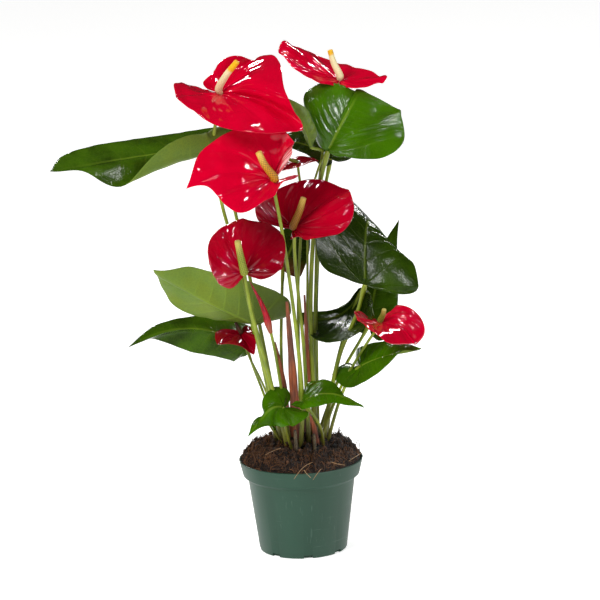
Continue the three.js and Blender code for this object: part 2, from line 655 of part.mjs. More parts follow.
for (const [name, leaf] of Object.entries(LEAVES)) {
  const stalk = stalkSolid(leaf.foot, [...leaf.via, leaf.junction], leaf.radii);
  place(name, bladeSolid(leaf).add(stalk), leaf.colour, 0.4);
}

for (const [name, bloom] of Object.entries(BLOOMS)) {
  const clearance = bladeSolid(bloom, BLADE_THICKNESS + 2 * GAP);
  const behind = vec(bloom.junction).addScaledVector(faceAtJunction(bloom), -(BLADE_THICKNESS / 2 + GAP));
  const stalk = stalkSolid(bloom.foot, [...bloom.via, behind.toArray()], bloom.radii);
  place(`${name}_spathe`, bladeSolid(bloom), bloom.colour, 0.2);
  place(`${name}_spadix`, spadixSolid(bloom, clearance), bloom.spadix.colour, 0.55);
  place(`${name}_stalk`, largestPiece(stalk.subtract(clearance)), COLOUR.stalk, 0.45);
}

// The furled bud and its stalk.
const budCurve = new THREE.CatmullRomCurve3([BUD.foot, BUD.middle, BUD.tip].map(vec), false, 'centripetal');
const budProfile = (u) => BUD.radius * Math.min(0.5 + 2.6 * u, 1.05 - u ** 1.2) + 0.2;
const underBud = vec(BUD.foot).addScaledVector(budCurve.getTangentAt(0), -2 * GAP);
place('bud_furled', tube(budCurve, evenly(10), 8, budProfile), COLOUR.spathe, 0.3);
place(
  'bud_furled_stalk',
  stalkSolid(BUD.stalkFoot, [...BUD.stalkVia, underBud.toArray()], BUD.stalkRadii),
  COLOUR.stalk,
  0.45,
);

for (const [name, sheath] of Object.entries(SHEATHS)) {
  holes.push({ foot: sheath.foot, radius: sheath.width });
  const curve = stalkCurve(sheath.foot, [sheath.via, sheath.top]);
  const narrow = (u) => 1 - 0.75 * u ** 1.6;
  const solid = tube(curve, stalkStations(curve, 8), 6, (u, angle) => {
    const flat = Math.hypot(sheath.width * Math.cos(angle), sheath.depth * Math.sin(angle));
    return flat * narrow(u);
  });
  place(name, solid, COLOUR.sheath, 0.6);
}

for (const [name, root] of Object.entries(ROOTS)) {
  place(name, stalkSolid(root.foot, root.via, [root.radius, root.radius * 0.8], 5), COLOUR.root, 0.7);
}

place('pot', potSolid(), COLOUR.pot, 0.5);
place('soil', soilSolid(), COLOUR.soil, 0.95);

export default plant;
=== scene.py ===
"""A flowering anthurium in a nursery pot, dressed over its packed frame.

Lengths in the tables are millimetres in the part's own frame, where +Z is up and -Y is the front. They
become metres where a mesh is made. A blade is a leaf or a spathe, and its margin is its edge."""

import bpy
import numpy as np
from bpy.props import FloatProperty, FloatVectorProperty, IntProperty, PointerProperty
from mathutils import Matrix, Vector


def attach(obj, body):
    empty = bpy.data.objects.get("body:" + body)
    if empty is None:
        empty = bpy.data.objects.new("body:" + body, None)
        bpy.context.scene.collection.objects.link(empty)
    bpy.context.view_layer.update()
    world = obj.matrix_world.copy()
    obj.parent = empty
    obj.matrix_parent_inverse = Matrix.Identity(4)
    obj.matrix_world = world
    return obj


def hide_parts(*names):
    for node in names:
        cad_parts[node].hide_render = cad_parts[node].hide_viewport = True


bl_info = {
    "name": "Potted anthurium",
    "version": (1, 0, 0),
    "blender": (4, 5, 0),
    "location": "3D View > Sidebar > Anthurium",
    "description": "Builds a flowering anthurium in a nursery pot over its packed frame",
    "category": "Object",
}

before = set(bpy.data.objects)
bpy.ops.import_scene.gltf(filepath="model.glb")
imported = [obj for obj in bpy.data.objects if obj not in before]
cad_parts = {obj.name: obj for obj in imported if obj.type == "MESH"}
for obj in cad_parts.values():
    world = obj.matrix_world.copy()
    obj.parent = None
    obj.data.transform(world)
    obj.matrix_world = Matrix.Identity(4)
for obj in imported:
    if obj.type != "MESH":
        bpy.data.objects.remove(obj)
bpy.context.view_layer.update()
MILLIMETRE = 0.001


# ---------------------------------------------------------------- values that a user would change


def linear(code):
    """A colour given as 0xRRGGBB, as Blender's linear red, green and blue."""
    parts = np.array([code >> 16 & 255, code >> 8 & 255, code & 255]) / 255
    return tuple(np.where(parts <= 0.04045, parts / 12.92, ((parts + 0.055) / 1.055) ** 2.4))


def length(name, description, default):
    return FloatProperty(
        name=name, description=description, default=default * MILLIMETRE, unit="LENGTH"
    )


def colour(name, description, default):
    return FloatVectorProperty(
        name=name, description=description, default=linear(default), subtype="COLOR", min=0, max=1
    )


class PotLooks(bpy.types.PropertyGroup):
    """Sizes and colour of the nursery pot."""

    height: length("Height", "From the underside to the rim", 90)
    rim_radius: length("Rim radius", "Outer radius at the mouth", 60)
    band_height: length("Band height", "Height of the plain band under the rim", 15.5)
    band_taper: length("Band taper", "How much the band narrows downward", 3.6)
    body_radius: length("Body radius", "Outer radius under the shoulder", 51.8)
    foot_radius: length("Foot radius", "Outer radius at the underside", 42.4)
    wall: length("Wall", "Thickness of the wall", 1.5)
    plastic: colour("Plastic", "The moulded plastic", 0x284A3A)


class SoilLooks(bpy.types.PropertyGroup):
    """The peat and coir that fill the pot."""

    mound: length("Mound", "Height of the middle above the edge", 13)
    heap: length("Heap", "How far loose coir is heaped over the mound", 7)
    grain: length("Grain", "Height of the clods", 2.2)
    crumbs: IntProperty(name="Crumbs", description="Loose crumbs on the surface", default=2200)
    fibres: IntProperty(name="Fibres", description="Coir fibres on the surface", default=2800)
    tufts: IntProperty(name="Tufts", description="Loose fibres that stand up round the rim", default=420)
    peat: colour("Peat", "The damp peat", 0x1E110B)
    coir: colour("Coir", "The rusty fibres", 0x84552F)
    straw: colour("Straw", "The pale dry fibres", 0xB59468)


class LeafLooks(bpy.types.PropertyGroup):
    """Colours and relief of the leaves."""

    thickness: length("Thickness", "Thickness of a leaf's blade", 0.8)
    quilting: length("Quilting", "How far a leaf bulges between its veins", 0.9)
    bright: colour("Fresh green", "Upper face of a young leaf", 0x3E6C02)
    dark: colour("Dark green", "Upper face of an old leaf", 0x3A5A0A)
    under: colour("Underside", "Lower face of every leaf", 0x6C7F24)
    vein: colour("Vein", "The pale midrib and veins", 0x86A030)


class BloomLooks(bpy.types.PropertyGroup):
    """Colours and relief of the blooms."""

    thickness: length("Thickness", "Thickness of a spathe", 0.8)
    quilting: length("Quilting", "How far a spathe bulges between its veins", 1.1)
    crimson: colour("Crimson", "Upper face of a spathe", 0xD2002A)
    # A deeper crimson: the tone of mottling, veins and the bud's tip, and also the colour of painted shade
    # in the throats and on the darker spathes.
    deep_tone_and_shade: colour("Deep crimson", "An older or shaded spathe", 0xB00020)
    under: colour("Underside", "Lower face of a spathe", 0xB8304A)
    cream: colour("Cream", "A young spadix", 0xF3E7B4)
    yellow: colour("Yellow", "The tip of a young spadix", 0xF0B818)
    gold: colour("Gold", "A ripe spadix", 0xCE8E22)
    green: colour("Green", "A spadix that turns green", 0x8E9A34)


class StalkLooks(bpy.types.PropertyGroup):
    """Colours of the stalks, sheaths and roots."""

    stalk: colour("Stalk", "A stalk in full light", 0x93A22E)
    shade: colour("Shaded stalk", "The darker side of a petiole", 0x67781C)
    # A brown tint low on a stalk, made dark enough to stand in also for painted shade near the soil.
    blush_and_shade: colour("Blush", "The brown tint low on a stalk", 0x56401F)
    sheath: colour("Sheath", "A dry sheath", 0xA04E26)
    root: colour("Root", "An aerial root", 0x6B5A3A)


class StageLooks(bpy.types.PropertyGroup):
    """The floor and the camera."""

    floor: colour("Floor", "The pale floor", 0xF2F2F0)
    distance: length("Camera distance", "From the camera to the plant", 3000)
    elevation: FloatProperty(name="Elevation", description="Degrees above the horizon", default=12.7)
    roll: FloatProperty(name="Roll", description="Degrees that the camera leans", default=1.7)
    lens: FloatProperty(name="Lens", description="Focal length in millimetres", default=187.8)


LOOKS = {
    "anthurium_pot": PotLooks,
    "anthurium_soil": SoilLooks,
    "anthurium_leaves": LeafLooks,
    "anthurium_blooms": BloomLooks,
    "anthurium_stalks": StalkLooks,
    "anthurium_stage": StageLooks,
}


def looks(part):
    """The values of one property group, such as looks("pot")."""
    return getattr(bpy.context.scene, "anthurium_" + part)


# ---------------------------------------------------------------- the plant's shape

AIM = (3.6, 0, 246)  # the point that the camera looks at
SOIL_DROP = 2.5  # the soil's edge below the rim
SOIL_RADIUS = 57.6
SOIL_LUMPS = 2.2
FOOT_DEPTH = 16  # how far a stalk stands in the soil
CLEAR_OF_SOIL = 3  # up to this height above the soil a stalk is upright
MIDRIB_GROOVE = 0.45  # depth in the upper face of a blade
MIDRIB_RIDGE = 0.8  # height on the lower face
ALMOST_FLAT = 1e-3  # the least angle that a half of a blade turns by
NOWHERE = -9  # a place that no blade reaches
NET_CELLS_PER_METRE = 1 / 0.003
RUST = (0.15, 0.066, 0.03)  # rusty grains in the peat

# How finely the surfaces are divided.
CURVE_POINTS = 60
BLADE_RINGS, MARGIN_STEPS = 46, 84
STALK_POINTS, STALK_SIDES = 120, 20
SPADIX_POINTS, SPADIX_SIDES = 150, 66
POT_SIDES = 192
SOIL_GRID = (120, 330)
FIBRE_POINTS = 8
STRAW_POINTS = 14

# Half of a heart-shaped margin, from the notch at the stalk round the lobe to the tip. The first number runs
# along the midrib: negative in lobe lengths, positive in blade lengths. The second is in half widths.
OUTLINE = {
    "leaf": [
        [-0.12, 0], [-0.66, 0.1], [-1, 0.4], [-0.7, 0.8], [0, 1],
        [0.35, 0.87], [0.66, 0.5], [0.88, 0.17], [1, 0],
    ],
    "spathe": [
        [-0.14, 0], [-0.7, 0.1], [-1, 0.42], [-0.72, 0.82], [0, 1],
        [0.38, 0.93], [0.7, 0.66], [0.93, 0.22], [1, 0],
    ],
    "broad": [
        [-0.14, 0], [-0.6, 0.12], [-1, 0.5], [-0.6, 0.86], [0.2, 1.03],
        [0.5, 0.9], [0.76, 0.56], [0.93, 0.17], [1, 0],
    ],
    "late": [
        [-0.14, 0], [-0.8, 0.06], [-1, 0.22], [-0.4, 0.5], [0.22, 0.84],
        [0.56, 1], [0.82, 0.84], [0.96, 0.4], [1, 0],
    ],
    "square": [
        [-0.14, 0], [-0.75, 0.15], [-1, 0.5], [-0.8, 0.88], [-0.2, 1],
        [0.35, 0.98], [0.68, 0.7], [0.92, 0.25], [1, 0],
    ],
    "blunt": [
        [-0.14, 0], [-0.7, 0.12], [-1, 0.45], [-0.7, 0.85], [0.1, 1],
        [0.5, 0.87], [0.76, 0.66], [0.91, 0.36], [1, 0],
    ],
    "hooked": [
        [-0.14, 0], [-0.75, 0.12], [-1, 0.3], [-0.5, 0.68], [0, 0.9],
        [0.35, 1], [0.58, 0.68], [0.76, 0.14], [1, 0],
    ],
    "open": [
        [-0.1, 0], [-0.35, 0.15], [-0.8, 0.3], [-1, 0.5], [-0.7, 0.82],
        [0, 1], [0.36, 0.87], [0.68, 0.48], [0.89, 0.16], [1, 0],
    ],
    "slant": [
        [-0.1, 0], [-0.3, 0.05], [-0.3, 0.13], [0.12, 0.3], [0.36, 0.78],
        [0.58, 1], [0.74, 0.8], [0.9, 0.34], [1, 0],
    ],
    "round": [
        [-0.1, 0], [-0.3, 0.05], [0, 0.2], [0.12, 0.5], [0.3, 0.85],
        [0.56, 1], [0.8, 0.86], [0.95, 0.4], [1, 0],
    ],
    "bay": [
        [0, 0], [0.003, 0.1], [0.012, 0.22], [0.03, 0.4], [0.043, 0.55], [0.06, 0.74], [0.105, 0.92],
        [0.17, 1], [0.32, 1.02], [0.55, 0.9], [0.78, 0.56], [0.93, 0.17], [1, 0],
    ],
    "lobed": [
        [-0.15, 0], [-0.3, 0.06], [-0.5, 0.2], [-0.85, 0.45], [-1, 0.66], [-0.8, 0.88],
        [0, 1.02], [0.25, 0.98], [0.5, 0.82], [0.75, 0.46], [0.92, 0.15], [1, 0],
    ],
    "pear": [
        [-0.12, 0], [-0.6, 0.12], [-1, 0.45], [-0.8, 0.8], [-0.2, 1], [0.18, 1.03],
        [0.34, 0.9], [0.5, 0.62], [0.72, 0.35], [0.9, 0.12], [1, 0],
    ],
    "spindle": [
        [-0.15, 0], [0, 0.12], [0.14, 0.4], [0.3, 0.82], [0.48, 1], [0.68, 0.82], [0.87, 0.36], [1, 0],
    ],
    "slim": [
        [-0.2, 0], [-0.7, 0.2], [-1, 0.5], [-0.6, 0.9], [0.1, 1],
        [0.4, 0.88], [0.7, 0.55], [0.9, 0.2], [1, 0],
    ],
}

# shade: a share of painted shade for the left and the right half of a blade, which darkens its colour.
LEAVES = {
    "long_left": dict(
        slot="leaf_dark", quilted=0.45,
        foot=[-19, 13], via=[[-38, 20, 230], [-60, 28, 350]], radii=[2.4, 1.6],
        junction=[-67, 30, 394], middle=[-150, 8, 388], tip=[-228, -25, 383],
        face=[-0.1, -0.5, 0.87], half=[42, 32], lobe=[18, 22], settle=0.45, kind=["leaf", "blunt"],
        fold=[[60, -30], [5, 8]], cup=[[30, -20], [-10, -20]], wave=2,
        curl=dict(side=0, place=0.66, reach=0.09, start=0.5, turn=185),
    ),
    "broad_top": dict(
        slot="leaf_bright",
        foot=[15, 6], via=[[14, 4, 250], [24, 0, 350]], radii=[2.7, 2],
        junction=[34, -5, 391], middle=[51, 2, 421], tip=[68, 24, 444],
        face=[0.1, -0.85, 0.5], face_tip=[0.1, -0.5, 0.85], half=[54, 60], lobe=[8, 4],
        kind=["late", "round"],
        fold=[[10, 0], [28, 5]], cup=[[-35, -35], [-10, -10]], wave=2.5, veins=11,
    ),
    "young_rolled": dict(
        slot="leaf_pale",
        foot=[8, 17],
        via=[[11, 16, 250], [16, 9, 340], [27, 6, 378], [32, 6, 387]], radii=[1.8, 1.1],
        junction=[18, -18, 397], middle=[12, -20, 420], tip=[-2, -16, 444],
        face=[0.3, 0.9, 0.2], half=[13, 13], lobe=[4, 4], kind=["spindle", "spindle"], fine=0.7,
        fold=[[5, 5], [5, 5]], cup=[[110, 110], [110, 110]], wave=0, waves=1,
    ),
    "dark_behind_top": dict(
        slot="leaf_dark", quilted=0.5, shade=[0.6, 0.6],
        foot=[17, 14], via=[[20, 26, 250], [28, 42, 330]], radii=[2.2, 1.7],
        junction=[37, 48, 374], middle=[8, 64, 387], tip=[-28, 88, 385],
        face=[0.1, -0.5, 0.85], half=[14, 42], lobe=[5, 13],
        fold=[[5, 0], [5, 0]], cup=[[-20, -20], [-20, -20]], wave=2,
    ),
    "big_right": dict(
        slot="leaf_dark", quilted=0.35, shade=[0.9, 0.25],
        foot=[22, 2], via=[[40, 0, 190], [58, -4, 232]], radii=[2.6, 2],
        junction=[66, -8, 261], middle=[70, 28, 311], tip=[80, 84, 296],
        face=[0, -0.85, 0.5], face_tip=[0.6, -0.1, 0.8], half=[54, 58], lobe=[0, 9],
        kind=["bay", "lobed"],
        fold=[[25, 5], [-12, 0]], cup=[[10, -15], [-30, -40]], wave=2,
    ),
    "dark_right_low": dict(
        slot="leaf_dark", quilted=0.5, shade=[0.6, 0.6],
        foot=[25, 9], via=[[36, 22, 170], [50, 32, 215]], radii=[2.2, 1.7],
        junction=[64, 34, 247.4], middle=[37.1, 40, 219], tip=[1.3, 50, 222.3],
        face=[0.1, -0.75, 0.65], half=[30, 14], lobe=[14, 4], kind=["broad", "round"],
        fold=[[5, 0], [15, 10]], cup=[[-15, -15], [20, 20]], wave=2,
    ),
    "dark_right_upright": dict(
        slot="leaf_dark", shade=[0.3, 0.3],
        foot=[17, 20], via=[[40, 34, 160], [62, 42, 196]], radii=[2, 1.5],
        junction=[71, 46, 210], middle=[82, 62, 256], tip=[103, 80, 306],
        face=[-0.2, -0.9, 0.3], half=[16, 26], lobe=[10, 16],
        fold=[[5, 0], [5, 0]], cup=[[-20, -20], [-20, -20]], wave=2,
    ),
    "right_low": dict(
        slot="leaf_bright",
        foot=[26, -5], via=[[38, -8, 145], [50, -10, 172]], radii=[2, 1.5],
        junction=[60, -16, 183], middle=[85, -32, 196], tip=[117, -54, 208],
        face=[0, -0.6, 0.8], half=[28, 25], lobe=[20, 38], kind=["open", "open"],
        fold=[[15, 0], [0, 0]], cup=[[-5, -10], [-20, -15]], wave=1.5,
    ),
    "pale_left": dict(
        slot="leaf_pale", quilted=0.6,
        foot=[-23, -2], via=[[-30, -2, 160], [-38, -4, 205]], radii=[2.4, 1.8],
        junction=[-43, -6, 226], middle=[-90, -20, 255], tip=[-134, -34, 287],
        face=[0.25, 0.85, 0.45], half=[50, 36], lobe=[34, 10], kind=["leaf", "slant"],
        fold=[[5, 0], [5, 0]], cup=[[10, 5], [10, 5]], wave=1.5,
    ),
    "dark_left_low": dict(
        slot="leaf_dark", quilted=0.6,
        foot=[-21, 4], via=[[-32, 8, 145], [-44, 19, 178]], radii=[1.6, 1.2],
        junction=[-50, 25, 196], middle=[-105, 18, 217], tip=[-163, 2, 204],
        face=[0.1, -0.45, 0.9], half=[27, 26], lobe=[6, 8],
        fold=[[5, 0], [5, 0]], cup=[[-15, -10], [-10, -10]], wave=1.5,
    ),
    "small_front_left": dict(
        slot="leaf_bright", skin="leaf_pale",
        foot=[-8, -22], via=[[-13, -34, 124]], radii=[1.8, 1.4],
        junction=[-16, -44, 152], middle=[-28, -55, 153], tip=[-41, -62, 138],
        face=[-0.25, -0.8, 0.6], half=[25, 25], lobe=[16, 18], fine=0.7,
        fold=[[8, 0], [8, 0]], cup=[[-15, -10], [-20, -15]], wave=1,
    ),
    "small_front_right": dict(
        slot="leaf_bright", skin="leaf_pale",
        foot=[22, -17], via=[[20, -26, 125]], radii=[1.8, 1.3],
        junction=[4, -43, 157], middle=[30, -60, 168], tip=[61, -69, 155],
        face=[0, -0.45, 0.9], half=[24, 20], lobe=[13, 13], fine=0.7,
        fold=[[8, 0], [8, 0]], cup=[[-15, -10], [-20, -15]], wave=1,
    ),
    "small_front_low": dict(
        slot="leaf_bright", skin="leaf_pale",
        foot=[-16, -14], via=[[-22, -16, 116]], radii=[1.4, 1.1],
        junction=[-30, -22, 131], middle=[-39, -30, 133], tip=[-50, -38, 122],
        face=[-0.3, -0.5, 0.8], half=[11, 11], lobe=[7, 7], fine=0.7,
        fold=[[8, 0], [8, 0]], cup=[[-15, -10], [-15, -10]], wave=0.5,
    ),
    "dark_middle": dict(
        slot="leaf_dark", shade=[0.9, 0.9], withered=0.2,
        foot=[-11, 16], via=[[-16, 24, 180], [-14, 28, 240]], radii=[2, 1.5],
        junction=[-12, 30, 272], middle=[2, 44, 300], tip=[14, 66, 322],
        face=[0, -0.8, 0.6], half=[22, 20], lobe=[4, 4],
        fold=[[5, 0], [5, 0]], cup=[[-20, -20], [-20, -20]], wave=2,
    ),
}

# A blade's shade is painted shade, as for the leaves. A spadix's shade is painted shade too, stronger
# towards its base.
BLOOMS = {
    "top_left": dict(
        slot="spathe",
        foot=[-17, -8], radii=[2.2, 1.6],
        via=[
            [-27, -13, 160], [-40, -28, 225], [-48, -39, 270], [-57, -20, 303], [-69, 8, 345],
            [-74, 4, 400],
        ],
        junction=[-65, -15, 450], middle=[-26, -38, 444], tip=[11, -50, 419],
        face=[0.1, -0.6, 0.78], half=[42, 46], lobe=[22, 41], lobe_rise=[0, 10],
        kind=["spathe", "spathe"],
        fold=[[22, 8], [24, 0]], cup=[[10, -15], [-10, -20]], wave=4, waves=3,
        spadix=dict(slot="spadix_cream", tip=[-48, -31, 483], bow=[-4, -1, 0], radius=3.7),
    ),
    "top_right": dict(
        slot="spathe",
        foot=[12, 13],
        via=[[19, 12, 250], [26, 17, 360], [36, 38, 415], [43, 41, 440]], radii=[2.2, 1.6],
        junction=[47, 36, 452], middle=[48, 61, 459], tip=[48, 86, 461],
        face=[0.28, -0.1, 0.95], half=[66, 48], lobe=[26, 20], lobe_rise=[-6, 0],
        fold=[[10, 8], [8, 8]], cup=[[6, 0], [10, 0]], wave=3, waves=3,
        spadix=dict(slot="spadix_cream", tip=[39, 33, 482], bow=[0, 0, 0], radius=3.6, ripe=0.84),
    ),
    "middle_left": dict(
        slot="spathe",
        foot=[0, -20], via=[[3, -28, 150], [0, -36, 215], [-11, -47, 320]], radii=[2.3, 1.6],
        junction=[-19, -58, 375], middle=[-60, -70, 384], tip=[-99, -66, 370],
        face=[-0.1, -0.85, 0.5], half=[33, 52], lobe=[28, 5], kind=["hooked", "leaf"], settle=0.35,
        # rim: where the margin rolls over, it is painted with pale streaks of highlight.
        rim=dict(side=1, place=0.27, reach=0.2, start=0.6),
        fold=[[5, 0], [15, 0]], cup=[[-20, -20], [75, -10]], wave=2,
        spadix=dict(slot="spadix_gold", tip=[-31, -72, 404], bow=[0, -3, 0], radius=4),
    ),
    "middle_right": dict(
        slot="spathe_dark", shade=[0.6, 0],
        foot=[8, -10], via=[[6, -14, 200], [0, -20, 290]], radii=[2.2, 1.6],
        junction=[0, -30, 323], middle=[27, -24, 343], tip=[53, -16, 355],
        face=[-0.1, -0.85, 0.5], half=[39, 31], lobe=[20, 10], kind=["open", "late"],
        fold=[[15, 5], [15, 5]], cup=[[10, 5], [20, 10]], wave=1, veins=9,
        spadix=dict(slot="spadix_gold", tip=[10, -42, 354], bow=[0, -2, 0], radius=3.9, shade=0.8),
    ),
    "left": dict(
        slot="spathe_dark", shade=[0, 0.75],
        foot=[-13, -17], via=[[-28, -28, 180], [-43, -46, 250]],
        radii=[2.3, 1.6],
        junction=[-48, -57, 287], middle=[-49, -46, 315], tip=[-48, -27, 333],
        face=[0, -0.75, 0.66], half=[37, 40], lobe=[14, 8], kind=["spathe", "broad"],
        fold=[[15, 5], [15, 5]], cup=[[20, 5], [20, 5]], wave=1,
        spadix=dict(slot="spadix_green", tip=[-53, -74, 321], bow=[0, -2, 0], radius=3.9),
    ),
    "right": dict(
        slot="spathe",
        foot=[19, -9],
        via=[[36, -4, 150], [45, -4, 168], [51, -11, 180], [68, -28, 211]], radii=[1.8, 1.3],
        junction=[80, -35, 230], middle=[96, -46, 227], tip=[110, -56, 213],
        face=[0.1, -0.6, 0.8], half=[25, 20], lobe=[8, 25], lobe_rise=[0, 18],
        kind=["late", "blunt"], fine=0.7,
        fold=[[20, 5], [10, 5]], cup=[[10, 5], [10, 5]], wave=1, veins=7,
        spadix=dict(slot="spadix_green", tip=[83, -42, 244], bow=[0, 0, 0], radius=3),
    ),
    "low_left": dict(
        slot="spathe_dark", shade=[0.5, 0.6],
        foot=[-15, 5], via=[[-34, 8, 160], [-48, 9, 192]], radii=[1.4, 1],
        junction=[-54, 9, 212], middle=[-50, -2, 208], tip=[-42, -14, 197],
        face=[0, -0.7, 0.7], half=[15, 25], lobe=[9, 3], kind=["spathe", "pear"], fine=0.7,
        fold=[[5, 5], [10, 10]], cup=[[-10, -10], [-10, -10]], wave=1,
        spadix=dict(slot="sheath", tip=[-59, 8, 224], bow=[0, 0, 0], radius=2.2),
    ),
    "behind": dict(
        slot="spathe_dark",
        foot=[1, 8], via=[[2, 10, 250], [8, 8, 340]], radii=[1.8, 1.3],
        junction=[5, 5, 378], middle=[15, 3, 380], tip=[25, 0, 381],
        face=[0, -0.25, 0.96], half=[12, 14], lobe=[19, 19], fine=0.7,
        fold=[[5, 5], [5, 5]], cup=[[5, 5], [5, 5]], wave=0,
        spadix=dict(slot="spadix_green", tip=[-6, 6, 384], bow=[0, 0, 0], radius=1.8),
    ),
}
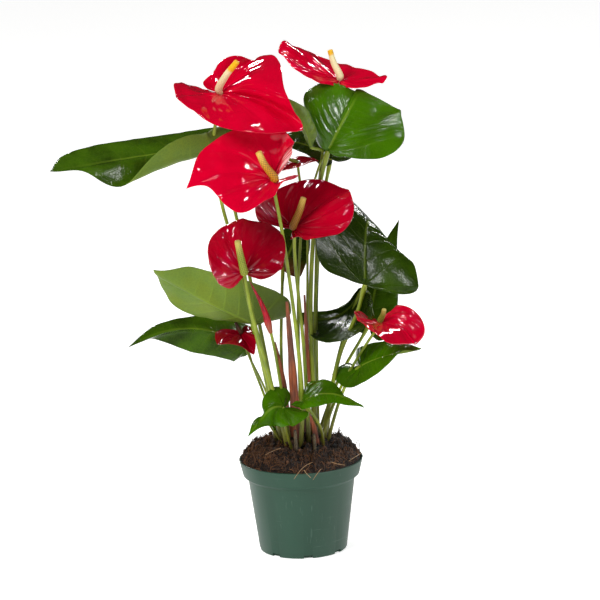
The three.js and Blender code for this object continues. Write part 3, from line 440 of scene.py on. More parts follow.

# How the margin of a blade is pushed out and up, in millimetres, at even places from the notch to the tip:
# outward and upward on its left half, then on its right half. Most values come from a least-squares fit to
# outlines that were read off the photograph. Some were adjusted after the fit.
TRIM_PLACES = 13
TRIM = {
    "dark_right_low": [
        [1.9, 3.7, 3.5, 1, -0.4, 0.2, -1.6, -2.6, 6.7, 11.4, 7.7, 3.4, 0.6],
        [9.3, 16.7, 22.6, 25.4, 25.1, 24.4, 27, 31.4, 30.9, 24.5, 15.6, 7.3, 0.2],
        [0.5, 0.3, 0.2, -0.7, -2.2, -3.8, -3.2, -0.9, -0.2, -0.7, -0.5, -0.3, -0.9],
        [0.2, 1, 1.6, 1.8, 1.3, 0.1, -1.4, -2.9, -4.2, -4.2, -3, -1.8, -1.2],
    ],
    "low_left": [
        [2.7, 2.3, 1.5, 0.7, -0.5, -1.6, -1.4, -1.6, -2, -1, -0.8, -0.2, 0],
        [3.2, 2.7, 1.8, 1.4, 1, 0.8, 1.2, 0.9, -0.1, 0.7, 3.3, 6.5, 9],
        [-1.3, 0.3, 0.2, -0.6, -0.9, -0.8, -1.5, -1.9, -0.2, 2.2, 6, 8.2, 2.4],
        [2.2, 1.5, 2.2, 2.5, 2.9, 3.5, 3.3, 2.1, 1.9, 2.5, 2.6, 5.5, 13.9],
    ],
    "top_left": [
        [1.8, 2.2, 0, -6, -10.8, -6.9, 12.3, 13.4, 15, 10.6, -19.2, -9.1, -6.9],
        [0.3, 0.8, -0.7, -2.1, 2.5, -3.3, -2.4, -15.5, -18, 6.7, 6, 12.2, -0.1],
        [-5.9, -7.3, -9.5, -12.4, -11, -5.4, -0.4, 4.5, 7.7, 7.9, 5.4, 1.5, 0.5],
        [-1.7, -5.7, -7.1, -3.7, 0.8, 5.5, 9.1, 8.9, 6.5, 2.6, 0.9, 1.7, 0.6],
    ],
    "top_right": [
        [-0.5, -0.2, -0.3, -1.2, -1.6, -0.4, 0.3, 0.1, -0.2, -1.5, -2.1, -1.3, 0],
        [-0.8, 1.8, 3.8, 4.3, 3.2, 1.3, 1.1, 2.3, 2.2, 2.6, 2.1, 0.2, -1.1],
        [0.6, 0.3, -0.5, -1.7, -2, -2, -2, -1.2, -1.7, -3.1, -3.5, -2.4, -0.6],
        [-2, -0.3, 1.4, 2.5, 1.7, 1.6, 2.7, 1.8, 1.2, 0.4, -1, -0.6, 0.5],
    ],
    "middle_left": [
        [-2.6, -5.7, -8.8, -11.9, -12.7, -12.9, -14.2, -5.1, 6.5, 4.9, 3.8, 4.8, 3.1],
        [-1.4, -2.3, -2, 0.2, 3.6, 6.4, 6.6, 5, 4, 2.8, 1.2, 0.2, -0.1],
        [-1.8, -1.2, -1.5, -2.7, -3, -2.2, -0.7, 1.1, 0.8, -1.2, 0.3, 2.9, 5.3],
        [0.3, 0.2, 0.4, 0.5, -0.6, -2.8, -5.3, -6.2, -3.8, -1.5, -0.5, -0.6, -0.4],
    ],
    "middle_right": [
        [-2.1, 2.4, 4.6, 3.5, 2.9, 3, 2.1, 1.3, -0.6, -1.6, 1.2, 2.7, 1.1],
        [-0.7, 0.7, 1.3, 0.9, 0.8, 1, 0.7, 0.4, -0.4, -0.7, 0.1, -0.3, -2.2],
        [5, 2.7, 0, -1.2, -0.9, -2, -2.7, 1.7, 5.8, 3.9, 0, -3.5, -5.3],
        [-1.6, -0.9, 0, 0.3, 0.2, 0.5, 0.8, 0.1, 0.4, 3.2, 5.2, 4.6, 2.6],
    ],
    "left": [
        [1.7, 1.5, 1.2, -0.8, -2.2, -2.3, -3.1, -3.1, -0.2, 0.5, -0.9, 0.1, 0.9],
        [-0.1, -0.3, -0.4, -0.4, -0.2, 0, 0, -0.4, -1.2, -2.1, -2.1, -1.8, -3.1],
        [3.3, 1.7, -0.8, -2.4, -1.6, -1.4, -2.6, -1.4, 1.3, 1.8, 3, 3.3, 2.4],
        [-0.1, 0, 0.1, 0.2, 0.3, 0.1, -0.5, -1.6, -2.5, -2.3, -0.8, 0.3, 0.4],
    ],
    "right": [
        [2.1, 3.9, 5.1, 5.4, 5.4, 5.9, 7, 7.6, 4.7, 2.4, 3.3, 1.5, -4.3],
        [-0.9, -2.2, -3.7, -4.5, -4.2, -5, -6.6, -6.7, -7.5, -8.8, -9.1, -9.6, -10.1],
        [-5.8, -7.2, -7.8, -7.2, -6, -3.6, -0.7, 2.6, 7.4, 11.6, 13.4, 12.9, 12.5],
        [-4.9, -7.1, -8, -5.7, 0.3, 6.6, 9.8, 10.1, 10.1, 11.6, 13.5, 13.3, 9.6],
    ],
    "long_left": [
        [0, 0, -0.1, -0.3, -0.1, 1.4, 5.6, 7, 6, 2, -2.5, 6.8, -4.9],
        [0, 0, 0.1, 0.3, 0.1, -1.6, -4, -4, -2, 0, -4.4, -9.8, 13.8],
        [0, 0, 0, 0, -0.1, -0.4, -1, -1.5, -0.7, 0.8, 0.7, 1.2, 2.9],
        [0, 0, 0.1, 0.1, -0.1, -0.7, -1.6, -2.3, -1.1, 1.1, 0.8, 0.3, 1],
    ],
    "broad_top": [
        [0.4, -1.9, -4.3, -6.3, -6.9, -8, -11.2, -10.7, -3.7, -0.4, -3.9, -8.4, -11.8],
        [1.7, -2.2, -6.9, -12.3, -16.4, -17.2, -14.1, -7.1, 2.1, 9, 9.7, 3.7, -4.7],
        [-1.4, -0.6, 1, 2.8, 4, 4.2, 2.5, 0.2, -0.8, -0.3, 3.9, 9.7, 13.4],
        [-4.2, -2.6, -0.6, 0.6, 0, -1.6, -3.7, -5.7, -6.9, -5.5, -2.2, -1.5, -6.1],
    ],
    "right_low": [
        [-0.3, 1.7, 3.8, 4.8, 3.7, 2.1, 0.7, -1.7, -3.1, -1.8, -0.5, 0.1, 0.3],
        [-0.5, -3.7, -6.7, -7.8, -6.7, -4.6, -2.1, -1.7, -1.9, -0.6, 0.4, 0.4, 0.3],
        [-8.9, -10.5, -11.3, -10.1, -7.4, -3.9, -0.6, 0.9, 0.5, -0.1, -1, -2.7, -5.2],
        [-3.5, -1.5, -0.3, -0.2, 0.8, 2.1, 2.5, 2.4, 2.5, 1.7, 0.8, 1.4, 3],
    ],
    "pale_left": [
        [0.5, -1.4, -2.9, -4.7, -5.5, -4.7, -3.4, -3.4, -3.9, -2.3, 0.2, 1.7, 3.8],
        [9.7, 8.3, 8.5, 8.2, 6.2, 4, 2.7, 1.4, 0.1, 0.4, 1.5, 2.4, 5.3],
        [1.2, 2.9, 4.9, 6.6, 6, 4, 2.7, 0.7, -1.6, -2, -1.5, -1.3, -1.9],
        [3.5, 5.9, 6.8, 5.5, 4.8, 4.9, 3.8, 3.1, 3.6, 3.1, 2.2, 1.7, 1.8],
    ],
    "dark_left_low": [
        [5.5, 1.6, -2.2, -5.5, -7.7, -9.6, -12.1, -12.9, -9.7, -7.8, -7.9, -8, -10.6],
        [-1.9, -1.7, -2.1, -3.3, -4.8, -5.7, -5.9, -7.6, -12, -13.1, -11.5, -9.4, -3.5],
        [0, 0, 0, 0, 0, 0.1, 0.2, 0.3, 0.4, 0.1, -0.1, 0.1, 2.1],
        [0, 0, 0, 0, 0, 0.1, 0.2, 0.4, 0.4, 0, -0.3, -0.3, 1.3],
    ],
    "small_front_left": [
        [-2.4, -2.3, -3, -4.2, -5.2, -5, -3.3, -1.1, 0.4, -1.2, -3.6, -2.4, 1.2],
        [-2.7, -0.9, 1.6, 4.3, 7.2, 10.1, 11.3, 7.7, 0, -6, -8.3, -8.5, -7.8],
        [2.3, 1.8, 2.1, 2.9, 3.3, 2.7, 1.8, 0.9, -2.6, -5.6, -3.6, -1.8, -3.5],
        [-2.9, -1.8, -1.2, -1.1, -1.4, -2.4, -3.6, -4.6, -4.9, -5, -5, -4.7, -4.8],
    ],
    "small_front_right": [
        [6.8, 8, 8.4, 8.1, 7.2, 6.4, 6.1, 5.7, 3.5, 0.6, -0.4, -0.9, -3.4],
        [0.6, 0.5, 0, -0.4, 0, 0, -0.2, -0.3, -1.9, -3.4, -3.2, -2.8, -4.4],
        [-1.1, -0.6, -1.4, -3.3, -5, -5.8, -6, -5.4, -3.5, -2.3, -1.9, -0.8, 1.7],
        [2.5, 1.9, 1.9, 2, 1.7, 1.4, 0.9, -0.5, -2.5, -2.3, -1, -0.7, -1.6],
    ],
}

BUD = dict(
    foot=[-25, -31, 222], middle=[-31, -38, 247], tip=[-43, -52, 277], radius=3.3,
    stalk_foot=[-10, -10], stalk_via=[[-17, -20, 165], [-22, -28, 205]], stalk_radii=[1.9, 1.4],
)

SHEATHS = {
    "sheath_left": dict(foot=[-12, 0], via=[-15, -2, 165], top=[-22, -3, 206], width=4.6, depth=2.2),
    "sheath_middle": dict(foot=[-3, -10], via=[-5, -14, 165], top=[-9, -23, 250], width=5.4, depth=2.4),
    "sheath_right": dict(foot=[6, 2], via=[9, 3, 180], top=[8, 4, 250], width=3.6, depth=2.2),
    "sheath_low": dict(foot=[15, -19], via=[14, -21, 122], top=[10, -23, 137], width=4.2, depth=2),
}

ROOTS = {
    "root_left": dict(foot=[-4, -32], via=[[-5, -35, 127]], radius=2),
    "root_right": dict(foot=[14, -30], via=[[13, -32, 122]], radius=1.8),
}

POT_STEP = 3  # height of the shoulder under the band
POT_FLOOR = 2
SLOT = dict(count=8, width=8.7, height=3.2, depth=7, first=-84)
SOIL_SIDE = [[54.6, 74.5], [50, 71.5], [40.6, 2.3]]  # radius and height of the soil's side, downward
FLORETS = [[7, 5.0], [10, -3.2]]  # spirals that wind each way, and how steeply they climb
SOIL_SEED = 11
TUFT_ANGLES = [165, 205, 235, 20, 60, 95, 130, 300]
TUFT_REACH, TUFT_FLOOR = 60.5, 91  # the furthest and the lowest that a tuft reaches

# Pale dry fibres that lie across the soil and over the rim.
STRAWS = [
    [[11.4, -50, 98.7], [3.7, -58.5, 97.3], [-2.2, -62, 92.6], [-7.1, -63, 86.1]],
    [[2.6, -58.5, 93.4], [5.3, -61.5, 90.2], [9, -62.5, 86.5]],
    [[18.8, -57, 93.5], [14.8, -61.5, 90], [10.9, -63, 84.6]],
    [[57.9, -24, 98.9], [51.7, -40, 99.6], [45.7, -52, 99.2]],
    [[-18.7, -40, 110.7], [-26.4, -46, 109.6], [-34.1, -52, 107.5]],
    [[28.6, -50, 98.1], [35.1, -53, 96.8], [41.8, -52, 95.3]],
]

# One crumb of peat: the corners and triangles of an icosahedron.
CRUMB = [
    [-1, 1.6, 0], [1, 1.6, 0], [-1, -1.6, 0], [1, -1.6, 0], [0, -1, 1.6], [0, 1, 1.6],
    [0, -1, -1.6], [0, 1, -1.6], [1.6, 0, -1], [1.6, 0, 1], [-1.6, 0, -1], [-1.6, 0, 1],
]
CRUMB_FACES = [
    [0, 11, 5], [0, 5, 1], [0, 1, 7], [0, 7, 10], [0, 10, 11], [1, 5, 9], [5, 11, 4], [11, 10, 2],
    [10, 7, 6], [7, 1, 8], [3, 9, 4], [3, 4, 2], [3, 2, 6], [3, 6, 8], [3, 8, 9], [4, 9, 5],
    [2, 4, 11], [6, 2, 10], [8, 6, 7], [9, 8, 1],
]

# Each softbox: where it hangs in metres, its width and height, its power in watts, and whether it lights
# matte surfaces or shows in glossy ones.
LIGHTS = {
    "key": ((-1.7, -2.0, 2.4), 1.1, 1.1, 74, True),
    "side": ((2.4, -1.6, 1.2), 1.2, 1.6, 13, True),
    "top": ((0.3, 0.5, 2.8), 1.5, 1.2, 22, True),
    "left strip": ((-1.29, -0.57, 2.27), 0.05, 1.0, 13, False),
    "right strip": ((1.39, -1.54, 1.53), 0.05, 0.7, 44, False),
    "right high strip": ((1.3, -0.94, 2.11), 0.05, 0.5, 16, False),
    "right low strip": ((2.14, -0.46, 1.31), 0.05, 0.5, 22, False),
    "right back strip": ((1.29, 0.75, 2.38), 0.05, 0.7, 20, False),
    "far right strip": ((0.93, 2.09, 1.07), 0.05, 0.5, 10, False),
    "far left strip": ((-0.68, 2.09, 1.31), 0.05, 0.6, 10, False),
    "left back strip": ((-1.0, 1.72, 1.92), 0.1, 1.0, 24, False),
}
MATTE_FILL = 0.24  # the sky's strength for matte surfaces
GLOSSY_FILL = 0.016  # and for glossy ones
FLOOR_REACH = 9  # metres from the pot to the floor's edge
FLOOR_LEVEL = -0.0004  # metres, just clear of the pot
CLIP_END = 60  # metres that the camera sees


# ---------------------------------------------------------------- surfaces


def unit(vectors):
    return vectors / np.linalg.norm(vectors, axis=-1, keepdims=True)


def smooth_path(knots, count):
    """Points at even distances along a smooth curve through the knots. Between two knots it is the cubic
    whose end slopes come from the neighbours, weighted by the square roots of the distances."""
    knots = np.asarray(knots, float)
    ends = 2 * knots[[0, -1]] - knots[[1, -2]]
    chain = np.vstack([ends[:1], knots, ends[1:]])
    before, start, end, after = chain[:-3], chain[1:-2], chain[2:-1], chain[3:]
    gaps = [
        np.sqrt(np.linalg.norm(b - a, axis=1, keepdims=True))
        for a, b in ((before, start), (start, end), (end, after))
    ]
    leave = (start - before) / gaps[0] - (end - before) / (gaps[0] + gaps[1]) + (end - start) / gaps[1]
    arrive = (end - start) / gaps[1] - (after - start) / (gaps[1] + gaps[2]) + (after - end) / gaps[2]
    leave, arrive = leave * gaps[1], arrive * gaps[1]
    w = np.linspace(0, 1, CURVE_POINTS)[:, None, None]
    cubic = (
        start
        + w * leave
        + w**2 * (3 * (end - start) - 2 * leave - arrive)
        + w**3 * (2 * (start - end) + leave + arrive)
    )
    fine = cubic.transpose(1, 0, 2).reshape(-1, knots.shape[1])
    run = np.concatenate([[0], np.cumsum(np.linalg.norm(np.diff(fine, axis=0), axis=1))])
    even = np.linspace(0, run[-1], count)
    return np.stack([np.interp(even, run, column) for column in fine.T], -1)


def lumps(points, size, seed, count=24):
    """Smooth random lumps about that many millimetres apart: the sum of plane waves with random
    directions and phases, with a mean of nought and a spread of one."""
    rng = np.random.default_rng(seed)
    waves = unit(rng.normal(size=(count, points.shape[-1]))) * (2 * np.pi / size)
    waves *= rng.uniform(0.7, 1.4, (count, 1))
    return np.sin(points @ waves.T + rng.uniform(0, 2 * np.pi, count)).sum(-1) * np.sqrt(2 / count)


def around(sides):
    """Even angles once round."""
    return np.linspace(0, 2 * np.pi, sides, endpoint=False)


def along_and_around(rows, sides):
    """Shares from 0 to 1 along a tube, as a column, and the angles round it, as a row."""
    return np.linspace(0, 1, rows)[:, None], around(sides)[None]


def grid_quads(rows, columns, first=0):
    """Corners of the quads between the rows of a grid of points. Each row is a closed ring."""
    row = first + np.arange(rows - 1)[:, None] * columns
    here = np.arange(columns)[None]
    beyond = (here + 1) % columns
    corners = (row + here, row + beyond, row + columns + beyond, row + columns + here)
    return np.stack(corners, -1).reshape(-1, 4)


def fan(centre, ring):
    """Triangles from a point to a closed ring of points."""
    return np.stack([np.full(len(ring), centre), ring, np.roll(ring, -1)], -1)


def make_piece(name, points, faces, materials, slot, replaced=(), painted=None, **stored_values):
    """A smooth mesh from points in millimetres, on the part's one body. faces is a list of arrays of corner
    numbers, painted gives each face its material, and the stored values spread over the points."""
    mesh = bpy.data.meshes.new(name)
    corners = [face for group in faces for face in group.tolist()]
    mesh.from_pydata((points.reshape(-1, 3) * MILLIMETRE).tolist(), [], corners)
    for material in materials:
        mesh.materials.append(material)
    if painted is not None:
        mesh.polygons.foreach_set("material_index", painted)
    for key, values in stored_values.items():
        layer = mesh.attributes.new(key, "FLOAT", "POINT")
        spread = np.broadcast_to(values, points.shape[:-1])
        layer.data.foreach_set("value", spread.ravel().astype(np.float32))
    mesh.shade_smooth()
    piece = bpy.data.objects.new(name, mesh)
    bpy.context.scene.collection.objects.link(piece)
    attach(piece, "root")
    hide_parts(*replaced)
    return piece


def make_tube(name, path, radii, material, slot, cad_node, **stored_values):
    """A tube along a path, closed at both ends. radii has a row for each point of the path and a column for
    each side. The rings start from the +X side and don't turn about the path."""
    sides = radii.shape[1]
    tangent = unit(np.gradient(path, axis=0))
    start = np.array([1, 0, 0.01])
    normal = unit(start - tangent * (tangent @ start)[:, None])
    across = np.cross(tangent, normal)
    angle = around(sides)[None, :, None]
    circle = np.cos(angle) * normal[:, None] + np.sin(angle) * across[:, None]
    points = path[:, None] + radii[..., None] * circle
    last = (len(path) - 1) * sides + np.arange(sides)
    faces = [grid_quads(len(path), sides), np.arange(sides)[None, ::-1], last[None]]
    make_piece(name, points, faces, [material], slot, [cad_node], **stored_values)


def soil_height(x, y):
    """Height of the soil: a mound with a few broad lumps, which die out towards the pot's wall."""
    share = np.clip(np.hypot(x, y) / SOIL_RADIUS, 0, 1)
    mound = looks("soil").mound / MILLIMETRE * (1 - share**2.2)
    broad = np.sin(0.21 * x + 1.3) * np.cos(0.17 * y - 0.6)
    narrow = np.sin(0.34 * y + 0.11 * x + 2)
    relief = SOIL_LUMPS * (0.6 * broad + 0.4 * narrow) * (1 - share**6)
    return looks("pot").height / MILLIMETRE - SOIL_DROP + mound + relief


def loose_height(x, y):
    """Height of the loose top of the soil: the mound, a heap that falls off steeply at the wall, and clods.
    A clod is a rounded lump between creases, from the absolute value of smooth lumps."""
    soil = looks("soil")
    share = np.clip(np.hypot(x, y) / SOIL_RADIUS, 0, 1)
    plan = np.stack(np.broadcast_arrays(x, y), -1)
    clods = np.abs(lumps(plan, 17, 1)) + 0.8 * np.abs(lumps(plan, 8, 2)) + 0.3 * lumps(plan, 3.5, 3)
    heap = (soil.heap + soil.grain * (clods - 1)) / MILLIMETRE
    front = 1 - 0.35 * np.clip(-np.asarray(y) / SOIL_RADIUS, 0, 1) * share
    return soil_height(x, y) + heap * front * (1 - share**22)


# ---------------------------------------------------------------- blades


def blade_surface(blade, along, across):
    """Middle surface of a blade at flat places along and across its midrib, as the margins give them.

    The midrib is the quadratic curve through junction, middle and tip. Square to it, each half is an arc
    that leaves the midrib at the fold angle and has turned by the cup angle at the margin. Both angles pass
    from the value at the stalk to that at the tip. A wave grows with the square of the distance from the
    midrib, and a lobe may rise. Also gives the directions away from the midrib and out of the face."""
    junction, middle, tip = (np.array(blade[key], float) for key in ("junction", "middle", "tip"))
    control = 2 * middle - (junction + tip) / 2
    s = np.clip(along, 0, 1)[..., None]
    midrib = (1 - s) ** 2 * junction + 2 * s * (1 - s) * control + s**2 * tip
    tangent = unit((s - 1) * junction + (1 - 2 * s) * control + s * tip)
    first = np.array(blade["face"], float)
    facing = first + (np.array(blade.get("face_tip", first), float) - first) * s
    facing = unit(facing - tangent * (facing * tangent).sum(-1, keepdims=True))

    side = (across < 0).astype(int)
    outward = np.cross(facing, tangent) * (1 - 2 * side)[..., None]
    half, lobe = (np.array(blade[key], float)[side] for key in ("half", "lobe"))
    settled = np.clip(along, 0, 1) ** blade.get("settle", 1)
    fold, cup = (
        ends[..., 0] + (ends[..., 1] - ends[..., 0]) * settled
        for ends in (np.radians(blade["fold"])[side], np.radians(blade["cup"])[side])
    )
    bend = np.where(np.abs(cup) < ALMOST_FLAT, ALMOST_FLAT, cup) / half
    turned = fold + bend * np.abs(across) * half
    reach = (np.sin(turned) - np.sin(fold)) / bend
    rise = (np.cos(fold) - np.cos(turned)) / bend
    rise += blade["wave"] * across**2 * np.sin(blade.get("waves", 2) * np.pi * along + 2 * side)
    back = np.maximum(0, -along)
    rise += np.array(blade.get("lobe_rise", [0, 0]), float)[side] * back**2
    points = midrib - tangent * (back * lobe)[..., None]
    return points + outward * reach[..., None] + facing * rise[..., None], outward, facing


def radiating_veins(blade, along, across, share, place):
    """Veins of a spathe, which spring from the junction and bend towards the tip. A vein runs where the
    value is a whole number."""
    count = blade.get("veins", 6) - 0.5
    return count * (place - 0.45 * share**2 * place * (1 - place)) + 0.5


def feathered_veins(blade, along, across, share, place):
    """Veins of a leaf: those ahead of the junction leave the midrib and bend towards the tip, and those
    behind it fan out into the lobes. A vein runs where the value is a whole number."""
    side = (across < 0).astype(int)
    extent = np.linalg.norm(np.subtract(blade["tip"], blade["junction"]))
    x = np.where(along >= 0, along, along * np.array(blade["lobe"])[side] / extent)
    y = np.abs(across) * np.array(blade["half"])[side] / extent
    first = 0.4 * y + 0.5 * y**2
    opening = np.pi - np.arctan2(y, first)
    behind = np.maximum(np.arctan2(y, x) - np.arctan2(y, first), 0) / opening
    return blade.get("veins", 7) * np.maximum(x - first, 0) - 3 * behind


def trimmed(name, share, place, on_left):
    """How far a trimmed margin pushes each point outward and upward: a sum of bumps, one for each place of
    the trim, which die out towards the notch, the tip and the junction."""
    trim = np.array(TRIM.get(name, np.zeros((4, TRIM_PLACES))))
    near = (place[..., None] * (TRIM_PLACES + 1) - 1 - np.arange(TRIM_PLACES)) * 0.8
    held = np.clip(8 * np.minimum(place, 1 - place), 0, 1)[..., None]
    weight = np.exp(-(near**2)) * held**2 * (3 - 2 * held) * share[..., None] ** 1.4
    return np.where(on_left[:, None], weight @ trim[:2].T, weight @ trim[2:].T)


def curled(points, normal, share, place, on_left, curl):
    """Rolls part of a margin over. Beyond the share where it starts, each line to the margin becomes an arc
    that keeps its length and turns by an angle, which fades on both sides of a place on the margin."""
    near = np.exp(-(((place - curl["place"]) / curl["reach"]) ** 2)) * (on_left != bool(curl["side"]))
    turn = np.radians(curl["turn"]) * near + 1e-6
    row = int(np.argmin(np.abs(share[:, 0] - curl["start"])))
    line = points[-1] - points[row]
    t = np.clip((share - curl["start"]) / (1 - curl["start"]), 0, 1)
    out = np.sin(turn * t) / turn - t
    up = (1 - np.cos(turn * t)) / turn
    return points + out[..., None] * line + (up * np.linalg.norm(line, axis=-1))[..., None] * normal[row]


def worn_rim(share, place, on_left, rim):
    """How far each point lies within the part of a rolled margin that is painted with pale streaks of
    highlight.
    """
    near = np.exp(-(((place - rim["place"]) / rim["reach"]) ** 4)) * (on_left != bool(rim["side"]))
    return near * np.clip((share - rim["start"]) * 12 + 0.5, 0, 1)


def normals(points, facing):
    """Unit normals of a blade's rings: across the step round the ring and the step to the next ring."""
    normal = np.cross(np.roll(points, -1, 1) - np.roll(points, 1, 1), np.gradient(points, axis=0))
    normal[0] = normal[1].mean(0)
    return unit(normal + 1e-9 * facing)


def build_blade(kind, name, blade, veins, materials, cad_node, sizes):
    """A blade of two sheets joined round the margin, in rings that spread from the junction. The sheets lie
    half the thickness each way from the middle surface, square to it. They bulge together between the
    veins, and the midrib is a groove above and a ridge below."""
    fine = blade.get("fine", 1)
    rings, steps = int(BLADE_RINGS * fine), int(MARGIN_STEPS * fine)
    left, right = (smooth_path(OUTLINE[half], steps + 1) for half in blade.get("kind", ["leaf", "leaf"]))
    margin = np.vstack([left, (right * [1, -1])[-2:0:-1]])
    towards_tip = np.linspace(0, 1, steps + 1)
    place = np.concatenate([towards_tip, towards_tip[-2:0:-1]])[None]
    share = (np.linspace(0, 1, rings + 1) ** 0.85)[:, None]
    along, across = share * margin[:, 0], share * margin[:, 1]
    share, place = np.broadcast_to(share, along.shape), np.broadcast_to(place, along.shape)
    columns = along.shape[1]
    on_left = np.arange(columns) <= steps

    points, outward, facing = blade_surface(blade, along, across)
    push = trimmed(name, share, place, on_left)
    points = points + push[..., :1] * outward + push[..., 1:] * facing
    normal = normals(points, facing)
    if "curl" in blade:
        points = curled(points, normal, share, place, on_left, blade["curl"])
        normal = normals(points, facing)

    phase = veins(blade, along, across, share, place)
    from_vein = np.abs((phase + 0.5) % 1 - 0.5)
    half = np.array(blade["half"])[(across < 0).astype(int)]
    from_midrib = np.where(along > 0, np.abs(across) * half, 20)
    body = np.sqrt(np.clip(4 * share * (1 - share), 0, 1)) * (1 - np.exp(-((from_midrib / 5) ** 2)))
    quilting = sizes.quilting / MILLIMETRE * blade.get("quilted", 1)
    relief = quilting * (np.sin(np.pi * from_vein) ** 2 - 0.5) * body
    relief += 0.35 * quilting * lumps(points, 17, 3) * share
    rib = np.exp(-((from_midrib / 1.5) ** 2)) * np.clip(1.15 - along, 0, 1)
    half_thick = sizes.thickness / MILLIMETRE / 2 * (1 - 0.55 * share**6)
    upper = points + normal * (relief + half_thick - MIDRIB_GROOVE * rib)[..., None]
    lower = points + normal * (relief - half_thick - MIDRIB_RIDGE * rib)[..., None]

    parts = [(sheet[:1, 0], sheet[1:].reshape(-1, 3)) for sheet in (upper, lower)]
    sheets = np.vstack([*parts[0], *parts[1]])
    size = len(sheets) // 2
    first = np.arange(1, columns + 1)
    edge = size - columns + np.arange(columns)
    ahead = np.roll(edge, -1)
    faces = [
        fan(0, first)[:, [0, 2, 1]],
        grid_quads(rings, columns, 1),
        np.stack([edge, ahead, ahead + size, edge + size], -1),
        fan(size, first + size),
        grid_quads(rings, columns, 1 + size)[:, ::-1],
    ]
    painted = np.repeat([0, 0, 0, 1, 1], [len(group) for group in faces])

    def both_sheets(values):
        return np.tile(np.concatenate([values[:1, 0], values[1:].ravel()]), 2)

    # Painted shade: each half's share of shade, blended across the midrib, is stored to darken the colour.
    left_share = 0.5 + 0.5 * np.tanh(5 * across)
    painted_shade_left, painted_shade_right = blade.get("shade", [0, 0])
    stored_values = {
        "vein": phase,
        "wither": np.clip((blade.get("withered", NOWHERE) - along) / 0.3, 0, 1),
        # Pale streaks of painted highlight where a margin rolls over.
        "worn": worn_rim(share, place, on_left, blade["rim"]) if "rim" in blade else 0 * share,
        "deep_tone_and_shade": painted_shade_left * left_share + painted_shade_right * (1 - left_share),
        "midrib": from_midrib,
        "share": share,
        "along": along,
    }
    stored_values = {key: both_sheets(values) for key, values in stored_values.items()}
    make_piece(kind + name, sheets, faces, materials, blade["slot"], [cad_node], painted, **stored_values)


def stalk_path(foot, places, count):
    """The route of a stalk: upright in the soil at its foot, then through the places given."""
    x, y = foot
    top = soil_height(x, y)
    upright = [[x, y, top + up] for up in (-FOOT_DEPTH, -FOOT_DEPTH / 3, CLEAR_OF_SOIL)]
    return smooth_path([*upright, *places], count)


def build_stalk(name, foot, places, radii, material, slot, cad_node, knuckle=0):
    """A stalk that slims from its foot upward, with a slightly wavy section, a wider base where it leaves
    the soil, and a knuckle of that share under a leaf."""
    path = stalk_path(foot, places, STALK_POINTS)
    u, angle = along_and_around(STALK_POINTS, STALK_SIDES)
    run = np.linalg.norm(np.diff(path, axis=0), axis=1).sum()
    radius = radii[0] + (radii[1] - radii[0]) * np.minimum(1, 1.6 * u)
    radius = radius * (1 + 0.2 * np.exp(-(((u * run - FOOT_DEPTH) / 9) ** 2)))
    radius = radius * (1 + knuckle * np.exp(-((((1 - u) * run - 7) / 7) ** 4)))
    radius = radius * (1 + 0.04 * np.cos(3 * angle + 5 * u + 1) + 0.03 * np.cos(2 * angle - 9 * u))
    make_tube(name, path, radius, material, slot, cad_node, height=u * run, top=(1 - u) * run)


def build_spadix(name, start, facing, spadix, material, cad_node):
    """A blunt rod covered with florets in crossing spirals. Each floret is a low dome: its height is the
    root of the product of two cosines that run along the two families of spirals."""
    end = np.array(spadix["tip"], float)
    length = np.linalg.norm(end - start)
    shoulder = start + 0.12 * length * facing
    middle = start + 0.55 * (end - start) + spadix["bow"]
    path = smooth_path([start, shoulder, middle, end], SPADIX_POINTS)
    u, angle = along_and_around(SPADIX_POINTS, SPADIX_SIDES)
    profile = np.minimum(np.minimum(0.62 + 3 * u, 1 - 0.3 * u), 5.5 * np.sqrt(1.0004 - u) - 0.08)
    run = u * length / spadix["radius"]
    one, other = (np.cos(count * angle / 2 + climb * run) for count, climb in FLORETS)
    stored_values = {
        "floret": np.sqrt(np.abs(one * other)),
        "along": u * spadix.get("ripe", 1),
        # Painted shade, stronger towards the base.
        "deep_tone_and_shade": spadix.get("shade", 0) * (1 - 0.6 * u),
    }
    radii = spadix["radius"] * profile * (0.95 + 0.09 * stored_values["floret"])
    make_tube(name, path, radii, material, spadix["slot"], cad_node, **stored_values)


# ---------------------------------------------------------------- materials


def node(tree, kind, inputs=None, **settings):
    """Adds a node. inputs gives each socket, by name or number, a value or the output to link to it."""
    made = tree.nodes.new("ShaderNode" + kind)
    for key, value in settings.items():
        setattr(made, key, value)
    for key, value in (inputs or {}).items():
        if isinstance(value, bpy.types.NodeSocket):
            tree.links.new(value, made.inputs[key])
        else:
            made.inputs[key].default_value = value
    return made


def maths(tree, operation, *values):
    """The result of one Math node."""
    return node(tree, "Math", dict(enumerate(values)), operation=operation).outputs[0]


def darkened(colour, share):
    """A colour darkened to that share of its light."""
    return tuple(share * part for part in colour)


def mixed(tree, share, first, second):
    """Two colours, mixed by a share. A colour is an output or three numbers."""
    both = [part if isinstance(part, bpy.types.NodeSocket) else (*part, 1) for part in (first, second)]
    made = node(tree, "Mix", {0: share, 6: both[0], 7: both[1]}, data_type="RGBA")
    return made.outputs[2]


def tinted(tree, colour, tint, mask, share):
    """A colour that turns into a tint by that share where the mask is one."""
    return mixed(tree, maths(tree, "MULTIPLY", mask, share), colour, tint)


def rising(tree, value, low, high, start=0.0, end=1.0):
    """A smooth step from start, where the value is low, to end, where it is high."""
    inputs = {"Value": value, "From Min": low, "From Max": high, "To Min": start, "To Max": end}
    return node(tree, "MapRange", inputs, interpolation_type="SMOOTHSTEP").outputs[0]


def stored(tree, name):
    """A value that the mesh stores at each point."""
    return node(tree, "Attribute", attribute_name=name).outputs["Fac"]


def in_place(tree, stretch=(1, 1, 1)):
    """Object coordinates, in metres, stretched along the axes."""
    place = node(tree, "TexCoord").outputs["Object"]
    return node(tree, "Mapping", {"Vector": place, "Scale": stretch}).outputs[0]


def noise(tree, place, scale, detail=2.0, roughness=0.5):
    inputs = {"Vector": place, "Scale": scale, "Detail": detail, "Roughness": roughness}
    return node(tree, "TexNoise", inputs).outputs["Fac"]


